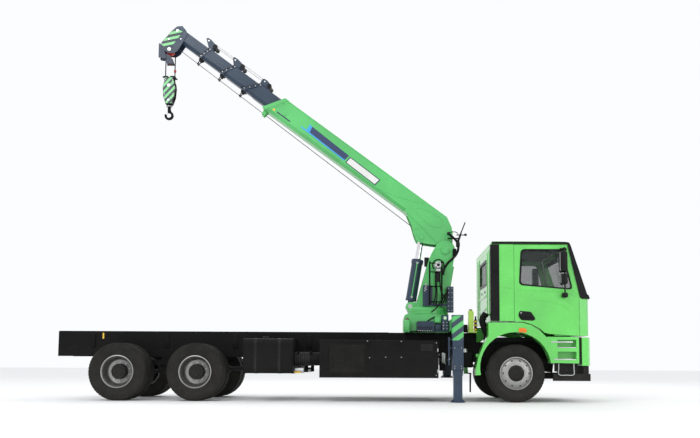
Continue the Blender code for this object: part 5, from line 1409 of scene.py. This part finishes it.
def outrigger_details():
    for side, word in SIDES:
        body = "outrigger_beam_" + word
        low, high = LOW[body], HIGH[body]
        x = (low.x + high.x) / 2
        half = 0.0975
        y = side * 1.240
        bm = bmesh.new()
        for lo, hi in (((x - half - 0.002, y - half - 0.002, 1.106),
                        (x - half + 0.001, y + half + 0.002, 1.548)),
                       ((x + half - 0.001, y - half - 0.002, 1.106),
                        (x + half + 0.002, y + half + 0.002, 1.548)),
                       ((x - half - 0.002, y + side * half - 0.0015, 1.106),
                        (x + half + 0.002, y + side * half + 0.0015, 1.548))):
            add_box(bm, lo, hi)
        finish_mesh("leg_stripes_" + word, bm, "leg_stripes", body, smooth=False)
        bm = bmesh.new()
        add_box(bm, (x - half - 0.006, y - half - 0.006, 1.546),
                (x + half + 0.006, y + half + 0.006, 1.560), 0.004)
        for z in (0.570, 0.990):
            add_box(bm, (x - half - 0.008, y - half - 0.008, z),
                    (x + half + 0.008, y + half + 0.008, z + 0.014), 0.003)
        add_box(bm, (x - half - 0.072, y - 0.035, 0.660), (x - half - 0.040, y + 0.035, 1.165), 0.006)
        for z in (0.780, 0.960, 1.110):
            add_box(bm, (x - half - 0.045, y - 0.030, z), (x - half + 0.002, y + 0.030, z + 0.022), 0.004)
        finish_mesh("leg_bands_" + word, bm, "slate", body)
        bm = bmesh.new()
        for z in (0.600, 0.640, 0.970):
            for dx in (-0.060, 0.060):
                add_rod(bm, (x + dx, y + side * half, z), (x + dx, y + side * (half + 0.010), z), 0.009, 6)
        add_rod(bm, (x - half - 0.056, y + side * 0.030, 0.770),
                (x - half - 0.056, y + side * 0.050, 0.770), 0.010, 10)
        finish_mesh("leg_bolts_" + word, bm, "steel", body)
        leg = "outrigger_leg_" + word
        foot = LOW[leg].z
        bm = bmesh.new()
        add_turned(bm,
                   [(0.070, foot + 0.058), (0.092, foot + 0.054), (0.100, foot + 0.040),
                    (0.120, foot + 0.026), (0.070, foot + 0.026)],
                   (x, y, 0), axis="Z", sides=32)
        for a in range(4):
            spin = math.radians(45 + 90 * a)
            add_rod(bm, (x + 0.105 * math.cos(spin), y + 0.105 * math.sin(spin), foot + 0.020),
                    (x + 0.105 * math.cos(spin), y + 0.105 * math.sin(spin), foot + 0.034), 0.010, 6)
        finish_mesh("leg_foot_trim_" + word, bm, "slate", leg)


# ---- chassis
def rail_details():
    for side, word in SIDES:
        face = 0.430
        bm = bmesh.new()
        for i in range(34):
            x = -4.850 + 0.270 * i
            if x > 4.4:
                break
            for z in (0.870, 1.030):
                add_rod(bm, (x, side * face, z), (x, side * (face + 0.007), z), 0.011, 6)
        finish_mesh("rail_rivets_" + word, bm, "black_steel", "chassis")
        bm = bmesh.new()
        for i in range(16):
            x = -4.720 + 0.360 * i
            add_rod(bm, (x, side * (face - 0.001), 0.950), (x, side * (face + 0.0012), 0.950), 0.013, 16)
            add_rod(bm, (x + 0.120, side * (face - 0.001), 0.905),
                    (x + 0.120, side * (face + 0.0012), 0.905), 0.009, 16)
        finish_mesh("rail_holes_" + word, bm, "rubber", "chassis", smooth=False)
        bm = bmesh.new()
        for x in (-4.300, -2.900, -1.600, -0.200, 1.100):
            y = sided(side, face, face + 0.016)
            add_box(bm, (x - 0.050, y[0], 0.960), (x + 0.050, y[1], 1.230), 0.005)
            for z in (1.000, 1.190):
                add_rod(bm, (x - 0.025, side * (face + 0.014), z), (x - 0.025, side * (face + 0.026), z),
                        0.012, 6)
                add_rod(bm, (x + 0.025, side * (face + 0.014), z), (x + 0.025, side * (face + 0.026), z),
                        0.012, 6)
        finish_mesh("subframe_plates_" + word, bm, "black_steel", "chassis")
        bm = bmesh.new()
        y = sided(side, face, face + 0.003)
        add_box(bm, (-4.120, y[0], 1.130), (-4.090, y[1], 1.240), 0.001)
        finish_mesh("rail_yellow_mark_" + word, bm, "yellow", "chassis", smooth=False)
        bm = bmesh.new()
        add_plate(bm, [(2.770, 0.520), (2.778, 0.520), (2.774, 0.180), (2.768, 0.180)],
                  *sided(side, 0.950, 1.190))
        add_rod(bm, (2.772, side * 0.432, 0.515), (2.772, side * 1.190, 0.515), 0.012, 12)
        finish_mesh("front_mud_flap_" + word, bm, "rubber", "chassis")


def drivetrain():
    bm = bmesh.new()
    add_rod(bm, (2.430, 0, 0.880), (-1.880, 0, 0.560), 0.046, 24)
    add_rod(bm, (-2.480, 0, 0.522), (-3.270, 0, 0.522), 0.040, 24)
    for x, z in ((2.380, 0.876), (0.300, 0.722), (-1.820, 0.565)):
        add_rod(bm, (x - 0.05, 0, z), (x + 0.05, 0, z + 0.004), 0.070, 16)
    finish_mesh("propeller_shafts", bm, "cast", "chassis")
    for number, x in enumerate((-2.185, -3.585), 1):
        bm = bmesh.new()
        for side, _ in SIDES:
            for dy in (0.300,):
                add_turned(bm,
                           [(0, -0.060), (0.060, -0.060), (0.078, -0.040), (0.078, 0.040), (0.060, 0.060),
                            (0, 0.060)],
                           (x + 0.190, side * dy, 0.620), axis="X", sides=28)
                add_rod(bm, (x + 0.150, side * dy, 0.620), (x + 0.040, side * dy, 0.560), 0.016, 12)
        finish_mesh(f"brake_chambers_{number}", bm, "black_steel", "chassis")
    bm = bmesh.new()
    for side, _ in SIDES:
        for x in (3.280, 3.870):
            add_rod(bm, (x, side * 0.520, 0.560), (x + 0.03, side * 0.470, 0.940), 0.030, 16)
            add_rod(bm, (x, side * 0.522, 0.550), (x + 0.015, side * 0.500, 0.740), 0.040, 16)
    finish_mesh("front_dampers", bm, "black_steel", "chassis")
    bm = bmesh.new()
    add_box(bm, (3.380, -0.290, 1.178), (4.260, 0.290, 1.196), 0.010, 2)
    for i in range(6):
        x = 3.460 + 0.135 * i
        add_box(bm, (x - 0.045, -0.240, 0.660), (x + 0.045, 0.240, 0.702), 0.012, 2)
    finish_mesh("engine_covers", bm, "cast", "chassis")


def side_boxes():
    for side, word in SIDES:
        low, high = LOW["side_box_" + word], HIGH["side_box_" + word]
        face = max(abs(low.y), abs(high.y))
        bm = bmesh.new()
        ring = [(0.130, 0.480), (0.130, 1.060), (0.960, 1.060), (0.960, 0.480)]
        hole = [(0.200, 0.530), (0.200, 1.020), (0.880, 1.020), (0.880, 0.530)]
        add_frame(bm, ring, hole, side, face - 0.001, face + 0.004)
        for x in (0.205, 0.860):
            y = sided(side, face, face + 0.010)
            add_box(bm, (x, y[0], 0.545), (x + 0.012, y[1], 1.005), 0.003)
        finish_mesh("box_grille_frame_" + word, bm, "black_steel", "chassis", smooth=False)
        bm = bmesh.new()
        y = sided(side, face - 0.001, face + 0.0025)
        add_box(bm, (0.200, y[0], 0.530), (0.880, y[1], 1.020))
        finish_mesh("box_grille_back_" + word, bm, "rubber", "chassis", smooth=False)
        bm = bmesh.new()
        y = sided(side, face + 0.002, face + 0.005)
        for i in range(20):
            x = 0.222 + 0.034 * i
            add_box(bm, (x, y[0], 0.535), (x + 0.007, y[1], 1.015))
        for i in range(14):
            z = 0.545 + 0.034 * i
            add_box(bm, (0.205, y[0], z), (0.875, y[1], z + 0.007))
        finish_mesh("box_grille_mesh_" + word, bm, "black_steel", "chassis", smooth=False)
        bm = bmesh.new()
        y = sided(side, face - 0.001, face + 0.004)
        add_box(bm, (1.868, y[0], 0.913), (2.083, y[1], 1.038), 0.003)
        finish_mesh("box_vent_" + word, bm, "trim", "chassis")
        bm = bmesh.new()
        y = sided(side, face + 0.002, face + 0.007)
        for i in range(4):
            for k in range(3):
                add_box(bm, (1.882 + 0.035 * i, y[0], 0.925 + 0.036 * k),
                        (1.905 + 0.035 * i, y[1], 0.950 + 0.036 * k), 0.002)
        add_box(bm, (2.030, y[0], 0.925), (2.072, y[1], 1.026), 0.003)
        finish_mesh("box_vent_slats_" + word, bm, "black_plastic", "chassis")
        bm = bmesh.new()
        for x, z in ((0.950, 0.790), (1.240, 0.800), (1.520, 0.800), (0.910, 1.090), (1.520, 1.085),
                     (2.150, 0.480), (2.150, 1.060)):
            add_rod(bm, (x, side * (face - 0.001), z), (x, side * (face + 0.006), z), 0.009, 8)
        for z in (0.520, 0.900):
            side_box(bm, side, (2.168, 2.186), (face - 0.020, face + 0.006), (z, z + 0.060), 0.003)
        finish_mesh("box_fasteners_" + word, bm, "steel", "chassis")
        bm = bmesh.new()
        y = sided(side, face - 0.001, face + 0.0025)
        for lo, hi in (((1.000, 0.440), (1.004, 1.085)), ((1.000, 1.066), (2.180, 1.070)),
                       ((0.060, 0.440), (0.064, 1.085))):
            add_box(bm, (lo[0], y[0], lo[1]), (hi[0], y[1], hi[1]))
        finish_mesh("box_seams_" + word, bm, "rubber", "chassis", smooth=False)
        bm = bmesh.new()
        side_box(bm, side, (low.x - 0.004, high.x + 0.004), (0.440, face + 0.004),
                 (high.z - 0.004, high.z + 0.010), 0.006)
        finish_mesh("box_lid_" + word, bm, "black_steel", "chassis")


def tanks():
    for side, word in SIDES:
        low, high = LOW["fuel_tank_" + word], HIGH["fuel_tank_" + word]
        face = max(abs(low.y), abs(high.y))
        bend = 0.090
        section = [(0.433, 0.498)] + arc((face - bend, 0.500 + bend), bend + 0.004, -90, 0, 6)
        section += arc((face - bend, 1.130 - bend), bend + 0.004, 0, 90, 6) + [(0.433, 1.134)]
        bm = bmesh.new()
        inner = [(0.433, 0.502)] + arc((face - bend, 0.500 + bend), bend - 0.002, -90, 0, 6)
        inner += arc((face - bend, 1.130 - bend), bend - 0.002, 0, 90, 6) + [(0.433, 1.128)]
        for x in (-1.130, -0.700):
            for i in range(len(section) - 1):
                add_plate(bm,
                          [(side * a[0], a[1]) for a in (section[i], section[i + 1], inner[i + 1],
                                                         inner[i])], x, x + 0.045, axis="X")
        finish_mesh("tank_straps_" + word, bm, "trim", "chassis", smooth=False)
        bm = bmesh.new()
        add_turned(bm, [(0, 1.128), (0.052, 1.128), (0.052, 1.160), (0.044, 1.172), (0, 1.172)],
                   (-0.950, side * (face - 0.180), 0), axis="Z", sides=28)
        finish_mesh("tank_cap_" + word, bm, "trim", "chassis")
        bm = bmesh.new()
        for x in (-1.318, -0.446):
            for i in range(len(section) - 1):
                add_plate(bm,
                          [(side * a[0], a[1]) for a in (section[i], section[i + 1], inner[i + 1],
                                                         inner[i])], x - 0.006, x + 0.010, axis="X")
        finish_mesh("tank_end_seams_" + word, bm, "black_steel", "chassis", smooth=False)
        bm = bmesh.new()
        for i in range(8):
            x = -0.395 + 0.034 * i
            add_turned(bm, [(0.118, -0.008), (0.128, -0.008), (0.128, 0.008), (0.118, 0.008)],
                       (x, side * 0.900, 0.765), axis="X", sides=32)
        finish_mesh("bottle_ribs_" + word, bm, "cast", "chassis")
        bm = bmesh.new()
        add_rod(bm, (-0.405, side * 1.000, 0.560), (-0.250, side * 1.000, 0.560), 0.050, 24)
        finish_mesh("small_drier_" + word, bm, "alu", "chassis")
        bm = bmesh.new()
        add_rod(bm, (-0.415, side * 1.060, 0.520), (-0.330, side * 1.060, 0.520), 0.016, 12)
        side_box(bm, side, (-0.340, -0.300), (1.040, 1.080), (0.505, 0.535), 0.004)
        finish_mesh("drain_fitting_" + word, bm, "yellow", "chassis")
        bm = bmesh.new()
        for x in (-0.360, -0.120):
            side_box(bm, side, (x - 0.020, x + 0.020), (0.432, 1.010), (0.885, 0.900), 0.003)
        add_rod(bm, (-0.230, side * 0.700, 0.520), (-0.230, side * 0.700, 0.900), 0.035, 18)
        finish_mesh("bottle_brackets_" + word, bm, "black_steel", "chassis")
    for number, (x, y, z) in enumerate(((2.300, -0.760, 0.780), (2.700, -0.760, 0.860)), 1):
        bm = bmesh.new()
        add_turned(bm,
                   [(0, -0.110), (0.046, -0.110), (0.060, -0.090), (0.060, 0.090), (0.046, 0.110),
                    (0, 0.110)], (x, y, z), axis="Z", sides=28)
        add_box(bm, (x - 0.080, y, z + 0.060), (x + 0.060, y + 0.328, z + 0.090), 0.005)
        finish_mesh(f"filter_canister_{number}", bm, "alu", "chassis")
    bm = bmesh.new()
    add_box(bm, (2.230, -0.900, 0.560), (2.330, -0.780, 0.690), 0.014, 3)
    add_box(bm, (2.700, -0.640, 1.278), (2.775, -0.400, 1.420), 0.010, 3)
    add_box(bm, (2.640, -0.880, 0.620), (2.840, -0.440, 0.900), 0.020, 3)
    finish_mesh("filter_bracket_blocks", bm, "black_steel", "chassis")


def coolant_bottle():
    bm = bmesh.new()
    add_box(bm, (2.799, -0.596, 1.302), (2.890, -0.444, 1.678), 0.018, 3)
    finish_mesh("bottle_body", bm, "bottle", "chassis")
    bm = bmesh.new()
    add_turned(bm, [(0, 1.676), (0.030, 1.676), (0.030, 1.706), (0.024, 1.714), (0, 1.714)],
               (2.842, -0.520, 0), axis="Z", sides=20)
    finish_mesh("bottle_cap", bm, "trim", "chassis")
    bm = bmesh.new()
    add_rod(bm, (2.930, -0.560, 1.290), (2.930, -0.560, 1.520), 0.026, 20)
    add_rod(bm, (2.930, -0.560, 1.515), (2.930, -0.560, 1.580), 0.016, 16)
    finish_mesh("washer_pump", bm, "trim", "chassis")
    bm = bmesh.new()
    for z in (1.330, 1.410, 1.480):
        add_turned(bm, [(0.024, -0.018), (0.036, -0.014), (0.036, 0.014), (0.024, 0.018)],
                   (2.930, -0.560, z), axis="Z", sides=20)
    finish_mesh("pump_rings", bm, "yellow", "chassis")


# ---- inside the cab
PAD_VOXEL = 0.009
PAD_PRESSURE = 4.0
PAD_FRAMES = 12
PAD_CAP = 0.010  # no point of a pad moves further; most points reach it


def pad_block(outline, half, y):
    """A cushion's first block: the side outline carried across, and drawn in a little toward its ends."""
    bm = bmesh.new()
    steps = 9
    rows = []
    for i in range(steps + 1):
        t = -1 + 2 * i / steps
        pull = 1 - 0.05 * t * t
        middle = sum((Vector(p) for p in outline), Vector((0, 0))) / len(outline)
        across = y + half * t
        drawn = [middle + (Vector(p) - middle) * pull for p in outline]
        rows.append([bm.verts.new((p.x, across, p.y)) for p in drawn])
    count = len(outline)
    for a, b in zip(rows, rows[1:]):
        for k in range(count):
            bm.faces.new((a[k], a[(k + 1) % count], b[(k + 1) % count], b[k]))
    bm.faces.new(rows[0][::-1])
    bm.faces.new(rows[-1])
    bmesh.ops.recalc_face_normals(bm, faces=bm.faces)
    return bm


def inflate(obj, cap):
    """Blow the pad up by cloth pressure, holding each point within a distance of where it began."""
    remesh = obj.modifiers.new("even", "REMESH")
    remesh.mode = "VOXEL"
    remesh.voxel_size = PAD_VOXEL
    bpy.context.view_layer.objects.active = obj
    obj.select_set(True)
    bpy.ops.object.modifier_apply(modifier="even")
    before = [v.co.copy() for v in obj.data.vertices]
    scene = bpy.context.scene
    soft = obj.modifiers.new("pad", "CLOTH")
    soft.settings.use_pressure = True
    soft.settings.uniform_pressure_force = PAD_PRESSURE
    soft.settings.effector_weights.gravity = 0.0
    soft.settings.quality = 4
    for f in range(1, PAD_FRAMES + 1):
        scene.frame_set(f)
    evaluated = obj.evaluated_get(bpy.context.evaluated_depsgraph_get())
    after = [v.co.copy() for v in evaluated.data.vertices]
    obj.modifiers.remove(soft)
    scene.frame_set(1)
    for v, old, new in zip(obj.data.vertices, before, after):
        move = new - old
        v.co = old + (move.normalized() * min(move.length, cap) if move.length > 0 else move)


def seats():
    cushion = [(3.625, 1.705), (3.900, 1.700), (4.095, 1.700), (4.112, 1.740), (4.105, 1.790),
               (4.060, 1.812), (3.900, 1.790), (3.640, 1.782)]
    back = [(3.612, 1.790), (3.712, 1.812), (3.690, 1.950), (3.668, 2.120), (3.640, 2.300), (3.604, 2.402),
            (3.540, 2.400), (3.560, 2.150)]
    rest = [(3.548, 2.428), (3.592, 2.428), (3.600, 2.500), (3.592, 2.596), (3.560, 2.610), (3.534, 2.596),
            (3.534, 2.500)]
    for word, y in (("driver", 0.560), ("passenger", -0.560)):
        for part, outline, half in (("cushion", cushion, 0.235), ("back", back, 0.225), ("headrest", rest, 0.120)):
            bm = pad_block(outline, half, y)
            pad = finish_mesh(f"seat_{part}_{word}", bm, "cloth", "cab")
            inflate(pad, PAD_CAP)
            if part == "cushion":
                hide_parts("seat_" + word)
        bm = bmesh.new()
        add_box(bm, (3.730, y - 0.145, LOW["seat_" + word].z + 0.002), (4.010, y + 0.145, 1.640), 0.020, 3)
        add_box(bm, (3.640, y - 0.220, 1.640), (4.080, y + 0.220, 1.700), 0.015, 3)
        add_rod(bm, (3.566, y - 0.050, 2.380), (3.566, y - 0.050, 2.450), 0.006, 10)
        add_rod(bm, (3.566, y + 0.050, 2.380), (3.566, y + 0.050, 2.450), 0.006, 10)
        finish_mesh("seat_stand_" + word, bm, "black_plastic", "cab")
        for dy in (-0.130, 0.130):
            seam = [Vector((x, y + dy, z)) for x,
                    z in ((3.660, 1.7935), (3.780, 1.798), (3.900, 1.801), (4.040, 1.818))]
            tube(f"seat_seam_{word}_{'a' if dy < 0 else 'b'}", seam, 0.003, "trim", "cab")
            back_seam = [Vector((x, y + dy, z)) for x,
                         z in ((3.7225, 1.830), (3.702, 1.950), (3.680, 2.120), (3.654, 2.290))]
            tube(f"back_seam_{word}_{'a' if dy < 0 else 'b'}", back_seam, 0.003, "trim", "cab")


def cab_inside():
    bm = bmesh.new()
    add_box(bm, (3.300, -1.120, 2.828), (4.500, 1.120, 2.838), 0.004)
    finish_mesh("roof_lining", bm, "lining", "cab")
    bm = bmesh.new()
    wall = HIGH["cab_rear_wall"].x
    add_box(bm, (wall + 0.001, -1.100, 1.520), (wall + 0.014, 1.100, 2.050), 0.004)
    finish_mesh("rear_wall_lining", bm, "lining", "cab")
    for side, word in SIDES:
        leaf = "door_" + word
        y = sided(side, 1.150, 1.1585)
        lining = [(3.580, 1.500), (3.580, 2.000), (4.640, 1.960), (4.700, 1.880), (4.700, 1.500)]
        bm = bmesh.new()
        add_plate(bm, lining, *y)
        y = sided(side, 1.110, 1.152)
        add_box(bm, (3.700, y[0], 1.800), (4.200, y[1], 1.850), 0.014, 3)
        add_box(bm, (3.760, y[0], 1.560), (4.400, y[1], 1.640), 0.014, 3)
        finish_mesh("door_lining_" + word, bm, "lining", leaf)
    centre = Vector((4.330, 0.560, 1.960))
    away = Vector((0.62, 0.0, -0.78)).normalized()
    turn = away.to_track_quat("Z", "Y").to_matrix()
    ring = [centre + turn @ Vector((0.218 * math.cos(a), 0.218 * math.sin(a),
                                    0)) for a in [2 * math.pi * i / 32 for i in range(32)]]
    tube("steering_rim", ring, 0.016, "trim", "cab", closed=True)
    bm = bmesh.new()
    add_rod(bm, centre - away * 0.022, centre + away * 0.020, 0.062, 28)
    for spin in (0, 120, 240):
        a = math.radians(spin + 90)
        tip = centre + turn @ Vector((0.206 * math.cos(a), 0.206 * math.sin(a), 0))
        add_rod(bm, centre, tip, 0.014, 10)
    finish_mesh("steering_hub", bm, "black_plastic", "cab")
    bm = bmesh.new()
    for i in range(6):
        add_box(bm, (4.492, -0.560 + 0.14 * i, 1.752), (4.508, -0.470 + 0.14 * i, 1.790), 0.006)
    finish_mesh("dashboard_switches", bm, "trim", "cab")
    bm = bmesh.new()
    add_box(bm, (4.546, -0.130, 1.835), (4.562, 0.150, 1.935), 0.008, 3)
    add_box(bm, (4.600, -0.100, 1.850), (4.640, 0.120, 1.880), 0.006)
    finish_mesh("dashboard_screen", bm, "trim", "cab")
    bm = bmesh.new()
    for i in range(5):
        y = -0.900 + 0.36 * i
        add_box(bm, (4.560, y, 1.842), (4.620, y + 0.090, 1.858), 0.004)
    finish_mesh("dashboard_vents", bm, "trim", "cab")


make_stage()
make_camera()
dress_nodes()
for side, word in SIDES:
    front_wheel(side, word)
    for number in (1, 2):
        rear_wheel(number, side, word)
cab_sides()
cab_front_trim()
cab_rear()
roof_trim()
steps()
mirrors()
boom_details()
section_details()
head_details()
hook_details()
column_details()
cylinder_details()
base_details()
outrigger_details()
rail_details()
drivetrain()
side_boxes()
tanks()
coolant_bottle()
seats()
cab_inside()
